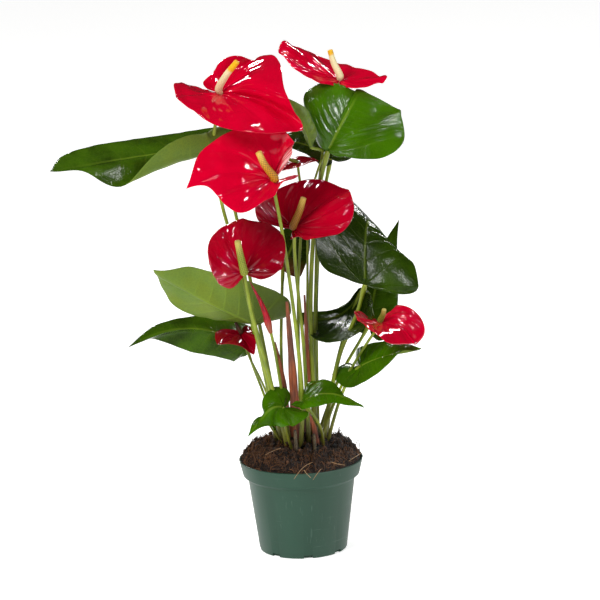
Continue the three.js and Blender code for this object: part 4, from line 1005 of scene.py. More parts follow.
def raised(tree, height, strength, distance, over=None):
    """The normal of a surface that is raised by a height from 0 to 1, up to a distance in metres."""
    inputs = {"Height": height, "Strength": strength, "Distance": distance}
    if over is not None:
        inputs["Normal"] = over
    return node(tree, "Bump", inputs).outputs[0]


def effect(name, inputs, outputs, build):
    """A node group, built once. inputs gives its numbers and their defaults, outputs the names of what it
    puts out, and build returns one output for each."""
    made = bpy.data.node_groups.get(name)
    if made is None:
        made = bpy.data.node_groups.new(name, "ShaderNodeTree")
        for key, value in inputs.items():
            socket = made.interface.new_socket(key, in_out="INPUT", socket_type="NodeSocketFloat")
            socket.default_value = value
        for key in outputs:
            made.interface.new_socket(key, in_out="OUTPUT", socket_type="NodeSocketFloat")
        given = made.nodes.new("NodeGroupInput").outputs
        results = build(made, *given[: len(inputs)])
        end = made.nodes.new("NodeGroupOutput")
        for socket, result in zip(end.inputs, results):
            made.links.new(result, socket)
    return made


def placed(tree, group, **inputs):
    """Puts a node group into a tree and gives its outputs."""
    made = tree.nodes.new("ShaderNodeGroup")
    made.node_tree = group
    for key, value in inputs.items():
        made.inputs[key].default_value = value
    return made.outputs


def vein_lines():
    """Masks of a blade's side veins, which fade towards the margin, and of its midrib."""

    def build(tree, width, reach):
        to_vein = maths(tree, "FRACT", maths(tree, "ADD", stored(tree, "vein"), 0.5))
        to_vein = maths(tree, "ABSOLUTE", maths(tree, "SUBTRACT", to_vein, 0.5))
        lines = maths(tree, "SUBTRACT", 1, rising(tree, to_vein, 0, width))
        fading = maths(tree, "SUBTRACT", 1, rising(tree, stored(tree, "share"), 0.45, reach))
        midrib = rising(tree, stored(tree, "midrib"), 1.7, 0.5)
        thin = rising(tree, stored(tree, "along"), 1, 0.4)
        return maths(tree, "MULTIPLY", lines, fading), maths(tree, "MULTIPLY", midrib, thin)

    return effect("Vein lines", {"Width": 0.07, "Reach": 1}, ["Veins", "Midrib"], build)


def wrinkled():
    """Fine wrinkles that run with a blade's veins, from noise stretched along them."""

    def build(tree, across):
        steps = {
            "X": maths(tree, "MULTIPLY", stored(tree, "vein"), across),
            "Y": maths(tree, "MULTIPLY", stored(tree, "share"), 0.7),
        }
        return [noise(tree, node(tree, "CombineXYZ", steps).outputs[0], 1, 1, 0.4)]

    return effect("Wrinkles", {"Across": 2.6}, ["Wrinkles"], build)


def blade_tissue():
    """Broad mottling, a net of tiny veins and a fine grain for blades."""

    def build(tree):
        place = in_place(tree)
        mottle = rising(tree, noise(tree, place, 38, 3), 0.3, 0.7)
        cells = {"Vector": place, "Scale": NET_CELLS_PER_METRE}
        edges = node(tree, "TexVoronoi", cells, feature="DISTANCE_TO_EDGE").outputs["Distance"]
        return mottle, rising(tree, edges, 0.14, 0.0), noise(tree, place, 2400, 2)

    return effect("Blade tissue", {}, ["Mottle", "Net", "Grain"], build)


def streaks():
    """Fine streaks along an upright stalk, and broad blotches."""

    def build(tree, fineness):
        fine = noise(tree, in_place(tree, (1, 1, 0.05)), fineness, 3)
        blotches = rising(tree, noise(tree, in_place(tree, (1, 1, 0.4)), 70, 2), 0.35, 0.65)
        return fine, blotches

    return effect("Streaks", {"Fineness": 900}, ["Fine", "Blotches"], build)


def dust():
    """Specks of dust, and scuffs that run round and down, both in patches."""

    def build(tree):
        place = in_place(tree)
        patches = rising(tree, noise(tree, place, 30, 2), 0.4, 0.7, 0, 0.5)
        specks = rising(tree, noise(tree, place, 900, 2, 0.7), 0.66, 0.74)
        down = rising(tree, noise(tree, in_place(tree, (1, 1, 0.03)), 500, 2), 0.64, 0.72)
        round_it = rising(tree, noise(tree, in_place(tree, (0.05, 0.05, 1)), 420, 2), 0.64, 0.72)
        scuffs = maths(tree, "MAXIMUM", down, round_it)
        return maths(tree, "MULTIPLY", specks, patches), maths(tree, "MULTIPLY", scuffs, patches)

    return effect("Dust", {}, ["Specks", "Scuffs"], build)


def finish(name, build, **constants):
    """The material of that name, made once. constants set the shader's own sockets, and build(tree) gives
    the outputs that vary."""
    made = bpy.data.materials.get(name)
    if made is None:
        made = bpy.data.materials.new(name)
        made.use_nodes = True
        tree = made.node_tree
        tree.nodes.clear()
        inputs = {key.replace("_", " "): value for key, value in constants.items()} | build(tree)
        shader = node(tree, "BsdfPrincipled", inputs)
        node(tree, "OutputMaterial", {"Surface": shader.outputs[0]})
    return made


def spathe_face(name, tone, depth):
    """The lacquered upper face of a spathe: crimson, a little darker along the veins, with painted shade in
    the throat and on shaded halves, and painted highlight streaks where a margin rolls over.
    """

    def build(tree):
        veins = placed(tree, vein_lines(), Width=0.09, Reach=0.95)["Veins"]
        mottle = placed(tree, blade_tissue())["Mottle"]
        colour = tinted(tree, tone, depth, mottle, 0.35)
        # Painted shade on a half that is given a share of shade.
        colour = mixed(tree, stored(tree, "deep_tone_and_shade"), colour, darkened(tone, 0.42))
        colour = tinted(tree, colour, depth, veins, 0.35)
        # Painted shade in the throat round the spadix.
        throat = rising(tree, stored(tree, "share"), 0.16, 0.0)
        colour = tinted(tree, colour, depth, throat, 0.5)
        # Painted highlight: pale streaks along the wrinkles where a margin rolls over.
        lines = rising(tree, placed(tree, wrinkled(), Across=9)["Wrinkles"], 0.42, 0.52)
        colour = tinted(tree, colour, (0.85, 0.5, 0.48), lines, stored(tree, "worn"))
        wrinkles = raised(tree, placed(tree, wrinkled())["Wrinkles"], 1, 0.0017)
        normal = raised(tree, maths(tree, "SUBTRACT", 0, veins), 0.3, 0.0003, wrinkles)
        rough = rising(tree, mottle, 0, 1, 0.03, 0.06)
        return {"Base Color": colour, "Roughness": rough, "Normal": normal}

    return finish(name, build, Specular_IOR_Level=0.3)


def spathe_back():
    """The satin lower face of a spathe, with raised veins, and pale streaks along its wrinkles that are a
    painted sheen.
    """
    tones = looks("blooms")

    def build(tree):
        veins = placed(tree, vein_lines(), Width=0.1)["Veins"]
        tissue = placed(tree, blade_tissue())
        colour = tinted(tree, tones.under, tones.deep_tone_and_shade, tissue["Mottle"], 0.5)
        colour = tinted(tree, colour, (0.7, 0.3, 0.32), veins, 0.5)
        wrinkles = placed(tree, wrinkled(), Across=7)["Wrinkles"]
        # Painted sheen: pale streaks along the wrinkles.
        colour = mixed(tree, rising(tree, wrinkles, 0.4, 0.65, 0, 0.5), colour, (0.8, 0.38, 0.38))
        normal = raised(tree, wrinkles, 0.6, 0.0009)
        normal = raised(tree, maths(tree, "ADD", veins, tissue["Grain"]), 0.25, 0.0004, normal)
        return {"Base Color": colour, "Normal": normal}

    return finish("Spathe underside", build, Roughness=0.16)


def leaf_face(name, tone, depth, vein_share=0.55, gloss=0.26):
    """The glossy upper face of a leaf: mottled green with a pale midrib, paler veins and a fine net. It is
    darker where a half is given a share of painted shade, and brown where it is withered."""
    pale = looks("leaves").vein

    def build(tree):
        veins, midrib = placed(tree, vein_lines())
        mottle, net, grain = placed(tree, blade_tissue())
        colour = mixed(tree, mottle, tone, depth)
        # Painted shade on a half that is given a share of shade.
        colour = mixed(tree, stored(tree, "deep_tone_and_shade"), colour, darkened(depth, 0.5))
        colour = tinted(tree, colour, pale, net, 0.05)
        colour = tinted(tree, colour, pale, veins, 0.2 * vein_share)
        colour = tinted(tree, colour, pale, midrib, vein_share)
        withered = stored(tree, "wither")
        brown = mixed(tree, mottle, (0.2, 0.07, 0.025), (0.05, 0.018, 0.01))
        colour = mixed(tree, withered, colour, brown)
        colour = tinted(tree, colour, (0.4, 0.42, 0.35), placed(tree, dust())["Specks"], 0.3)
        rough = rising(tree, mottle, 0, 1, 0.1, 0.16)
        rough = maths(tree, "ADD", rough, maths(tree, "MULTIPLY", withered, 0.4))
        lines = maths(tree, "MULTIPLY_ADD", net, -0.2, maths(tree, "MULTIPLY", grain, 0.1))
        wrinkles = raised(tree, placed(tree, wrinkled(), Across=2)["Wrinkles"], 0.3, 0.0016)
        normal = raised(tree, maths(tree, "SUBTRACT", lines, veins), 0.4, 0.0006, wrinkles)
        return {"Base Color": colour, "Roughness": rough, "Normal": normal}

    return finish(name, build, Specular_IOR_Level=gloss)


def leaf_back():
    """The matte pale lower face of a leaf, with raised veins, and painted shade that darkens it towards the
    stalk.
    """
    tones = looks("leaves")

    def build(tree):
        veins, midrib = placed(tree, vein_lines(), Width=0.08)
        mottle, net, grain = placed(tree, blade_tissue())
        colour = tinted(tree, tones.under, (0.09, 0.18, 0.03), mottle, 0.6)
        colour = tinted(tree, colour, tones.vein, net, 0.2)
        # Painted shade, darker towards the stalk.
        shaded = rising(tree, stored(tree, "along"), 0.5, -0.1, 0, 0.6)
        colour = mixed(tree, shaded, colour, (0.05, 0.075, 0.014))
        lines = maths(tree, "MAXIMUM", veins, midrib)
        colour = tinted(tree, colour, tones.vein, lines, 0.3)
        normal = raised(tree, maths(tree, "ADD", lines, grain), 0.3, 0.0005)
        return {"Base Color": colour, "Normal": normal}

    return finish("Leaf underside", build, Roughness=0.48, Specular_IOR_Level=0.15)


def stalk_skin(name):
    """A satin stalk: yellow-green, streaked, darker in blotches, and tinted brown near the soil, where the
    tint is also painted shade.
    """
    tones = looks("stalks")

    def build(tree):
        fine, blotches = placed(tree, streaks())
        colour = mixed(tree, blotches, tones.stalk, tones.shade)
        colour = mixed(tree, rising(tree, fine, 0.45, 0.75, 0, 0.35), colour, tones.shade)
        # Near the soil: the brown tint, which is partly painted shade.
        low = rising(tree, stored(tree, "height"), 80, 25)
        colour = tinted(tree, colour, tones.blush_and_shade, low, 0.65)
        top = rising(tree, stored(tree, "top"), 16, 2)
        colour = tinted(tree, colour, tones.stalk, top, 0.3)
        return {"Base Color": colour, "Normal": raised(tree, fine, 0.25, 0.0003)}

    return finish(name, build, Roughness=0.36, Specular_IOR_Level=0.3)


def spadix_skin(name, base, tip, change, blend, dot, strong):
    """A spadix: packed florets with a darker dot on each, the tip's colour beyond a place on it, and painted
    shade by a stored share.
    """

    def build(tree):
        floret, along = stored(tree, "floret"), stored(tree, "along")
        ragged = maths(tree, "MULTIPLY", noise(tree, in_place(tree), 700), 0.06)
        reach = rising(tree, maths(tree, "ADD", along, ragged), change - blend, change + blend)
        colour = mixed(tree, reach, base, tip)
        gaps = rising(tree, floret, 0.62, 0.2, 0, strong)
        fading = rising(tree, along, change + 0.2, change - 0.1, 0.25, 1)
        colour = tinted(tree, colour, dot, gaps, fading)
        colour = mixed(tree, rising(tree, floret, 0.93, 0.99, 0, 0.5 * strong), colour, dot)
        # Painted shade by the stored share.
        colour = mixed(tree, stored(tree, "deep_tone_and_shade"), colour, dot)
        grain = noise(tree, in_place(tree), 2200)
        return {"Base Color": colour, "Normal": raised(tree, grain, 0.2, 0.0002)}

    return finish(name, build, Roughness=0.5, Specular_IOR_Level=0.2)


def bud_skin():
    """The furled bud: salmon with brown streaks, crimson towards the tip."""
    tones = looks("blooms")

    def build(tree):
        fine = placed(tree, streaks(), Fineness=600)["Fine"]
        along = stored(tree, "along")
        colour = mixed(tree, rising(tree, along, 0.05, 0.3), (0.36, 0.1, 0.05), tones.deep_tone_and_shade)
        streaky = maths(tree, "ADD", fine, maths(tree, "MULTIPLY", along, 0.25))
        colour = mixed(tree, rising(tree, streaky, 0.5, 0.8, 0, 0.75), colour, (0.12, 0.006, 0.015))
        return {"Base Color": colour, "Normal": raised(tree, fine, 0.2, 0.0003)}

    return finish("Furled bud", build, Roughness=0.3, Specular_IOR_Level=0.25)


def sheath_skin():
    """A dry papery sheath: red-brown with darker blotches, pale streaks and dark ribs."""
    tones = looks("stalks")

    def build(tree):
        fine, blotches = placed(tree, streaks(), Fineness=700)
        colour = mixed(tree, blotches, tones.sheath, (0.11, 0.035, 0.022))
        colour = mixed(tree, rising(tree, fine, 0.5, 0.75, 0, 0.5), colour, (0.45, 0.2, 0.11))
        colour = mixed(tree, rising(tree, fine, 0.45, 0.25, 0, 0.6), colour, (0.06, 0.02, 0.014))
        return {"Base Color": colour, "Normal": raised(tree, fine, 0.6, 0.0005)}

    return finish("Dry sheath", build, Roughness=0.62)


def root_skin():
    """An aerial root: olive-brown and rough, in two tones."""
    tones = looks("stalks")

    def build(tree):
        rough = noise(tree, in_place(tree), 600, 4, 0.65)
        colour = mixed(tree, rising(tree, rough, 0.35, 0.65), (0.04, 0.03, 0.018), tones.root)
        return {"Base Color": colour, "Normal": raised(tree, rough, 0.7, 0.0008)}

    return finish("Aerial root", build, Roughness=0.8)


def pot_plastic():
    """Moulded plastic: an even dark green, faintly flowed, with fine scuffs and dust."""
    tone = looks("pot").plastic

    def build(tree):
        specks, scuffs = placed(tree, dust())
        flow = noise(tree, in_place(tree, (1, 1, 0.3)), 22, 3)
        colour = mixed(tree, rising(tree, flow, 0.3, 0.7, 0, 0.6), tone, darkened(tone, 0.72))
        colour = tinted(tree, colour, (0.2, 0.3, 0.25), scuffs, 0.3)
        colour = tinted(tree, colour, (0.3, 0.26, 0.2), specks, 0.35)
        rough = rising(tree, flow, 0.3, 0.7, 0.42, 0.5)
        rough = maths(tree, "ADD", rough, maths(tree, "MULTIPLY", scuffs, 0.15))
        grain = noise(tree, in_place(tree), 2600, 2)
        return {"Base Color": colour, "Roughness": rough, "Normal": raised(tree, grain, 0.12, 0.0002)}

    return finish("Moulded plastic", build, Specular_IOR_Level=0.3)


def damp_peat():
    """Peat: dark brown, with painted shade that makes its hollows blacker, rusty grains and a rough relief.
    """
    tone = looks("soil").peat

    def build(tree):
        place = in_place(tree)
        coarse, fine = noise(tree, place, 170, 5, 0.7), noise(tree, place, 900, 4, 0.7)
        # Painted shade: darker where the coarse relief is low.
        colour = mixed(tree, rising(tree, coarse, 0.4, 0.62), darkened(tone, 0.3), tone)
        rusty = maths(tree, "MULTIPLY", rising(tree, fine, 0.5, 0.66), rising(tree, coarse, 0.42, 0.6))
        colour = tinted(tree, colour, RUST, rusty, 0.55)
        relief = raised(tree, fine, 0.9, 0.0012, raised(tree, coarse, 0.8, 0.003))
        return {"Base Color": colour, "Normal": relief}

    return finish("Damp peat", build, Roughness=0.95)


def toned(name, dark, pale, roughness):
    """Loose matter whose pieces go from a dark to a pale tone, each by its own stored share."""

    def build(tree):
        grain = noise(tree, in_place(tree), 900, 3, 0.6)
        colour = mixed(tree, stored(tree, "tone"), dark, pale)
        colour = mixed(tree, rising(tree, grain, 0.45, 0.75, 0, 0.5), colour, dark)
        return {"Base Color": colour, "Normal": raised(tree, grain, 0.5, 0.0004)}

    return finish(name, build, Roughness=roughness)


def matte_floor():
    """The pale floor: almost white, with the faintest unevenness."""
    tone = looks("stage").floor

    def build(tree):
        uneven = rising(tree, noise(tree, in_place(tree), 2, 2), 0.3, 0.7, 0, 0.3)
        return {"Base Color": mixed(tree, uneven, tone, darkened(tone, 0.97))}

    glow = dict(Emission_Color=(1, 1, 1, 1), Emission_Strength=0.7)
    return finish("Pale floor", build, Roughness=0.9, Specular_IOR_Level=0.1, **glow)


# ---------------------------------------------------------------- operators


class ANTHURIUM_OT_stage(bpy.types.Operator):
    """Lay the pale floor, and set the lights and the camera."""

    bl_idname = "anthurium.stage"
    bl_label = "Stage"

    def execute(self, context):
        scene = context.scene
        scene.view_settings.view_transform = "Standard"
        scene.view_settings.look = "None"
        lay_floor(scene)
        aim = np.array(AIM) * MILLIMETRE
        set_camera(scene, aim)

        world = bpy.data.worlds.new("studio")
        world.use_nodes = True
        scene.world = world
        tree = world.node_tree
        tree.nodes.clear()
        rays = node(tree, "LightPath").outputs
        seen = maths(tree, "MULTIPLY_ADD", rays["Is Glossy Ray"], GLOSSY_FILL, rays["Is Camera Ray"])
        strength = maths(tree, "MULTIPLY_ADD", rays["Is Diffuse Ray"], MATTE_FILL, seen)
        sky = node(tree, "Background", {"Color": (1, 1, 1, 1), "Strength": strength})
        node(tree, "OutputWorld", {"Surface": sky.outputs[0]})

        for name, (where, width, height, power, matte) in LIGHTS.items():
            lamp = bpy.data.lights.new(name, "AREA")
            lamp.shape = "RECTANGLE"
            lamp.size, lamp.size_y, lamp.energy = width, height, power
            holder = bpy.data.objects.new(name, lamp)
            scene.collection.objects.link(holder)
            holder.visible_diffuse = matte
            holder.visible_glossy = not matte
            holder.visible_camera = False
            towards = Vector(aim) - Vector(where)
            placing = towards.to_track_quat("-Z", "Y").to_matrix().to_4x4()
            placing.translation = Vector(where)
            holder.matrix_world = placing
        return {"FINISHED"}


def lay_floor(scene):
    """A wide square just under the pot."""
    mesh = bpy.data.meshes.new("floor")
    square = ((-1, -1), (1, -1), (1, 1), (-1, 1))
    corners = [(x * FLOOR_REACH, y * FLOOR_REACH, FLOOR_LEVEL) for x, y in square]
    mesh.from_pydata(corners, [], [(0, 1, 2, 3)])
    mesh.materials.append(matte_floor())
    floor = bpy.data.objects.new("floor", mesh)
    scene.collection.objects.link(floor)


def set_camera(scene, aim):
    """A camera in front of the plant, raised by its elevation and rolled by its lean."""
    stage = looks("stage")
    camera = bpy.data.objects.new("camera", bpy.data.cameras.new("camera"))
    scene.collection.objects.link(camera)
    tilt, lean = np.radians([stage.elevation, stage.roll])
    right, up = np.array([1.0, 0, 0]), np.array([0, np.sin(tilt), np.cos(tilt)])
    back = np.array([0, -np.cos(tilt), np.sin(tilt)])
    turned = np.cos(lean) * right - np.sin(lean) * up, np.sin(lean) * right + np.cos(lean) * up
    place = Matrix(np.column_stack([*turned, back]).tolist()).to_4x4()
    place.translation = Vector(aim + stage.distance * back)
    camera.matrix_world = place
    camera.data.lens = stage.lens
    camera.data.clip_end = CLIP_END
    scene.camera = camera


class ANTHURIUM_OT_pot(bpy.types.Operator):
    """Turn the nursery pot and cut the drainage slots in its foot."""

    bl_idname = "anthurium.pot"
    bl_label = "Pot"

    def execute(self, context):
        pot = looks("pot")
        lengths = (pot.height, pot.rim_radius, pot.body_radius, pot.foot_radius, pot.wall)
        top, rim, body, foot, wall = (value / MILLIMETRE for value in lengths)
        band_foot = top - pot.band_height / MILLIMETRE
        band = rim - pot.band_taper / MILLIMETRE
        shoulder = band_foot - POT_STEP
        profile = [
            (foot - 1.2, 0), (foot - 0.35, 0.2), (foot + 0.05, 0.9), (body - 0.1, shoulder - 0.8),
            (body + 0.3, shoulder), (band - 0.5, band_foot - 0.25), (band - 0.1, band_foot + 0.1),
            (band + 0.05, band_foot + 0.6), (rim - 0.05, top - 0.5), (rim - 0.2, top - 0.15),
            (rim - 0.5, top), (rim - wall + 0.4, top), (rim - wall + 0.1, top - 0.15),
            (rim - wall - 0.1, top - 0.6), (band - wall, band_foot), (body - wall, shoulder),
            (foot - wall, POT_FLOOR),
        ]
        rings = turned_rings(profile, POT_SIDES)
        points = np.vstack([[[0, 0, 0]], rings.reshape(-1, 3), [[0, 0, POT_FLOOR]]])
        last = len(points) - 1
        first_ring, last_ring = 1 + np.arange(POT_SIDES), last - POT_SIDES + np.arange(POT_SIDES)
        faces = [fan(0, first_ring[::-1]), grid_quads(len(rings), POT_SIDES, 1), fan(last, last_ring)]
        shell = make_piece("pot_shell", points, faces, [pot_plastic()], "pot", ["pot"])
        cut_slots(shell, foot)
        shell.data.set_sharp_from_angle(angle=np.radians(35))
        return {"FINISHED"}


def turned_rings(profile, sides):
    """A profile of radii and heights turned round the Z axis: a ring of points for each."""
    profile = np.array(profile)[:, None]
    angle = around(sides)
    x, y, z = profile[..., 0] * np.cos(angle), profile[..., 0] * np.sin(angle), profile[..., 1] + 0 * angle
    return np.stack([x, y, z], -1)


def cut_slots(pot, foot):
    """Cuts the drainage slots out of the foot, each a box across its edge."""
    angles = np.radians(SLOT["first"] + 360 / SLOT["count"] * np.arange(SLOT["count"]))
    ends = np.array([[x, y, z] for x in (-1, 1) for y in (-1, 1) for z in (-1, 1)], float)
    box = ends * [SLOT["depth"] / 2, SLOT["width"] / 2, SLOT["height"]] + [foot, 0, 0]
    cos, sin = np.cos(angles)[:, None], np.sin(angles)[:, None]
    turned = np.stack(
        [box[:, 0] * cos - box[:, 1] * sin, box[:, 0] * sin + box[:, 1] * cos, 0 * cos + box[:, 2]], -1
    )
    sides = np.array([[0, 1, 3, 2], [4, 6, 7, 5], [0, 4, 5, 1], [2, 3, 7, 6], [0, 2, 6, 4], [1, 5, 7, 3]])
    mesh = bpy.data.meshes.new("slots")
    faces = (8 * np.arange(SLOT["count"])[:, None, None] + sides).reshape(-1, 4)
    mesh.from_pydata((turned.reshape(-1, 3) * MILLIMETRE).tolist(), [], faces.tolist())
    cutter = bpy.data.objects.new("slots", mesh)
    bpy.context.scene.collection.objects.link(cutter)
    cut = pot.modifiers.new("slots", "BOOLEAN")
    cut.object, cut.operation, cut.solver = cutter, "DIFFERENCE", "EXACT"
    evaluated = pot.evaluated_get(bpy.context.evaluated_depsgraph_get())
    shell = bpy.data.meshes.new_from_object(evaluated)
    pot.modifiers.clear()
    pot.data = shell
    bpy.data.objects.remove(cutter)


def make_strands(name, paths, radii, sides, tone, material):
    """One piece of the soil from many short tubes. paths holds the points of each, radii a radius for each
    and for each of its points, and tone a value for each."""
    count, length = paths.shape[:2]
    tangent = unit(np.gradient(paths, axis=1))
    normal = unit(np.cross(tangent, [0.02, 0.03, 1]))
    across = np.cross(tangent, normal)
    angle = around(sides)[:, None]
    circle = np.cos(angle) * normal[..., None, :] + np.sin(angle) * across[..., None, :]
    points = paths[..., None, :] + radii[..., None, None] * circle
    start = (np.arange(count) * length * sides)[:, None, None]
    last = (length - 1) * sides + np.arange(sides)
    ends = np.stack([np.arange(sides)[::-1], last])
    faces = [(start + grid_quads(length, sides)).reshape(-1, 4), (start + ends).reshape(-1, sides)]
    make_piece(name, points, faces, [material], "soil", tone=tone[:, None, None])


class ANTHURIUM_OT_soil(bpy.types.Operator):
    """Fill the pot with peat, crumbs, coir fibres and a few pale straws."""

    bl_idname = "anthurium.soil"
    bl_label = "Soil"

    def execute(self, context):
        soil = looks("soil")
        rng = np.random.default_rng(SOIL_SEED)
        heap_soil()
        scatter_crumbs(soil, rng)
        coir = toned("Coir fibre", darkened(soil.peat, 0.5), soil.coir, 0.8)
        scatter_fibres(soil, rng, coir)
        raise_tufts(soil, rng, coir)

        paths = np.stack([smooth_path(knots, STRAW_POINTS) for knots in STRAWS])
        radii = np.broadcast_to(np.linspace(0.34, 0.2, STRAW_POINTS), paths.shape[:2])
        straw = toned("Pale straw", soil.coir, soil.straw, 0.6)
        make_strands("straws", paths, radii, 6, rng.uniform(0.4, 1, len(STRAWS)), straw)
        return {"FINISHED"}


def heap_soil():
    """The closed surface of the soil: its loose top, and its side down to the pot's floor."""
    rings, sides = SOIL_GRID
    angle = around(sides)
    radius = SOIL_RADIUS * np.linspace(0, 1, rings + 1)[1:, None] ** 0.9
    x, y = radius * np.cos(angle), radius * np.sin(angle)
    top = np.stack([x, y, loose_height(x, y)], -1)
    side = turned_rings(SOIL_SIDE, sides)
    middle, floor = float(loose_height(0.0, 0.0)), SOIL_SIDE[-1][1]
    points = np.vstack([[[0, 0, middle]], top.reshape(-1, 3), side.reshape(-1, 3), [[0, 0, floor]]])
    last = len(points) - 1
    faces = [
        fan(0, 1 + np.arange(sides)),
        grid_quads(rings + len(SOIL_SIDE), sides, 1)[:, ::-1],
        fan(last, (last - sides + np.arange(sides))[::-1]),
    ]
    make_piece("soil_mound", points, faces, [damp_peat()], "soil", ["soil"])


def scatter(rng, count, reach):
    """Random places on a disc, evenly spread."""
    where = reach * np.sqrt(rng.uniform(0, 1, count))
    turn = rng.uniform(0, 2 * np.pi, count)
    return where * np.cos(turn), where * np.sin(turn)


def scatter_crumbs(soil, rng):
    """Crumbs of peat, each a dented and flattened icosahedron half sunk into the soil."""
    count = soil.crumbs
    x, y = scatter(rng, count, SOIL_RADIUS - 1.5)
    size = 0.8 + 1.9 * rng.uniform(0, 1, count) ** 3
    shape = unit(np.array(CRUMB)) * rng.uniform(0.55, 1.25, (count, len(CRUMB), 1))
    shape *= (size[:, None] * rng.uniform([0.5, 0.5, 0.4], [1.4, 1.4, 0.9], (count, 3)))[:, None]
    centres = np.stack([x, y, loose_height(x, y) + 0.35 * size], -1)
    faces = [(np.array(CRUMB_FACES) + len(CRUMB) * np.arange(count)[:, None, None]).reshape(-1, 3)]
    tone = rng.uniform(0, 1, count)[:, None] ** 2.4
    crumb = toned("Peat crumbs", darkened(soil.peat, 0.4), RUST, 0.95)
    make_piece("soil_crumbs", centres[:, None] + shape, faces, [crumb], "soil", tone=tone)


def scatter_fibres(soil, rng, coir):
    """Coir fibres that lie on the soil, each winding and arched."""
    count, along = soil.fibres, np.arange(FIBRE_POINTS)
    x, y = scatter(rng, count, SOIL_RADIUS - 1)
    heading = rng.uniform(0, 2 * np.pi, count)[:, None] + rng.normal(0, 0.45, count)[:, None] * along
    heading = heading + np.cumsum(rng.normal(0, 0.3, (count, FIBRE_POINTS)), 1)
    step = rng.uniform(0.6, 2.1, count)[:, None]
    x = x[:, None] + np.cumsum(step * np.cos(heading), 1)
    y = y[:, None] + np.cumsum(step * np.sin(heading), 1)
    inward = np.minimum(1, (SOIL_RADIUS - 0.6) / np.hypot(x, y))
    x, y = x * inward, y * inward
    arch = rng.gamma(1.2, 1.3, (count, 1)) * np.sin(np.pi * along / (FIBRE_POINTS - 1))
    paths = np.stack([x, y, loose_height(x, y) + 0.4 + arch], -1)
    radii = rng.uniform(0.14, 0.4, count)[:, None] * np.linspace(1, 0.6, FIBRE_POINTS)
    make_strands("coir_fibres", paths, radii, 4, rng.uniform(0, 1, count) ** 2, coir)


def raise_tufts(soil, rng, coir):
    """Loose fibres that rise near the rim. They gather in tufts, and some lean over the rim."""
    count, along = soil.tufts, np.arange(FIBRE_POINTS)
    turn = np.radians(rng.choice(TUFT_ANGLES, count) + rng.normal(0, 16, count))
    start = rng.uniform(47, 56.5, count)
    out = rng.normal(0.15, 0.5, (count, 1)) * along + rng.normal(0, 0.06, (count, 1)) * along**2
    aside = np.cumsum(rng.normal(0, 0.7, (count, FIBRE_POINTS)), 1)
    out = np.minimum(start[:, None] + out, TUFT_REACH)
    x = out * np.cos(turn)[:, None] - aside * np.sin(turn)[:, None]
    y = out * np.sin(turn)[:, None] + aside * np.cos(turn)[:, None]
    inside = np.minimum(np.hypot(x, y), SOIL_RADIUS - 6) / np.hypot(x, y)
    rise = rng.gamma(2, 0.42, (count, 1)) * along * (1 - rng.uniform(0, 0.11, (count, 1)) * along)
    z = loose_height(x * inside, y * inside) - 1.5 * (1 - inside) * 57 + rise
    paths = np.stack([x, y, np.maximum(z, TUFT_FLOOR)], -1)
    radii = rng.uniform(0.12, 0.26, count)[:, None] * np.linspace(1, 0.5, FIBRE_POINTS)
    make_strands("rim_tufts", paths, radii, 4, rng.uniform(0, 1, count) ** 1.2, coir)


class ANTHURIUM_OT_leaves(bpy.types.Operator):
    """Grow the leaves, each a quilted blade on its petiole."""

    bl_idname = "anthurium.leaves"
    bl_label = "Leaves"

    def execute(self, context):
        leaves = looks("leaves")
        deeper = darkened(leaves.bright, 0.62)
        faces = {
            "leaf_bright": leaf_face("Fresh leaf", leaves.bright, deeper),
            "leaf_dark": leaf_face("Dark leaf", leaves.dark, darkened(leaves.dark, 0.4), 0.3, 0.08),
            "leaf_pale": leaf_face("Young leaf", leaves.bright, deeper, 0.45, 0.07),
        }
        skin = stalk_skin("Petiole")
        for name, leaf in LEAVES.items():
            slot, places = leaf["slot"], [*leaf["via"], leaf["junction"]]
            both = [faces[leaf.get("skin", slot)], leaf_back()]
            build_blade("blade_", name, leaf, feathered_veins, both, "leaf_" + name, leaves)
            build_stalk(
                "petiole_" + name, leaf["foot"], places, leaf["radii"], skin, slot, "leaf_" + name, 0.3
            )
        return {"FINISHED"}


class ANTHURIUM_OT_blooms(bpy.types.Operator):
    """Grow the blooms, each a spathe and a spadix on a stalk."""

    bl_idname = "anthurium.blooms"
    bl_label = "Blooms"

    def execute(self, context):
        tones = looks("blooms")
        faces = {
            "spathe": spathe_face("Crimson spathe", tones.crimson, tones.deep_tone_and_shade),
            # The darker spathes are a darker copy of the crimson spathe, as painted shade for blooms that
            # sit in shadow.
            "spathe_dark": spathe_face("Crimson spathe in painted shade", tones.deep_tone_and_shade, darkened(tones.deep_tone_and_shade, 0.4)),
        }
        rods = {
            "spadix_cream": (
                "Cream spadix", tones.cream, tones.yellow, 0.74, 0.04, (0.5, 0.33, 0.1), 0.25,
            ),
            "spadix_gold": (
                "Gold spadix", tones.gold, (0.75, 0.5, 0.1), 0.75, 0.25, (0.1, 0.035, 0.008), 1,
            ),
            "spadix_green": (
                "Green spadix", tones.green, (0.5, 0.42, 0.1), 0.75, 0.2, (0.08, 0.05, 0.012), 1,
            ),
            "sheath": (
                "Dry spadix", (0.12, 0.05, 0.025), (0.07, 0.03, 0.02), 0.6, 0.1, (0.03, 0.012, 0.008), 0.6,
            ),
        }
        skin = stalk_skin("Flower stalk")
        for name, bloom in BLOOMS.items():
            node_name = f"bloom_{name}_"
            both = [faces[bloom["slot"]], spathe_back()]
            build_blade("spathe_", name, bloom, radiating_veins, both, node_name + "spathe", tones)
            junction = np.array(bloom["junction"], float)
            facing = blade_surface(bloom, np.zeros(1), np.zeros(1))[2][0]
            stand = tones.thickness / MILLIMETRE / 2 * facing
            places = [*bloom["via"], junction - stand]
            build_stalk(
                "peduncle_" + name, bloom["foot"], places, bloom["radii"], skin, "stalk", node_name + "stalk"
            )
            spadix = bloom["spadix"]
            rod = spadix_skin(*rods[spadix["slot"]])
            build_spadix("spadix_" + name, junction + stand, facing, spadix, rod, node_name + "spadix")
        return {"FINISHED"}


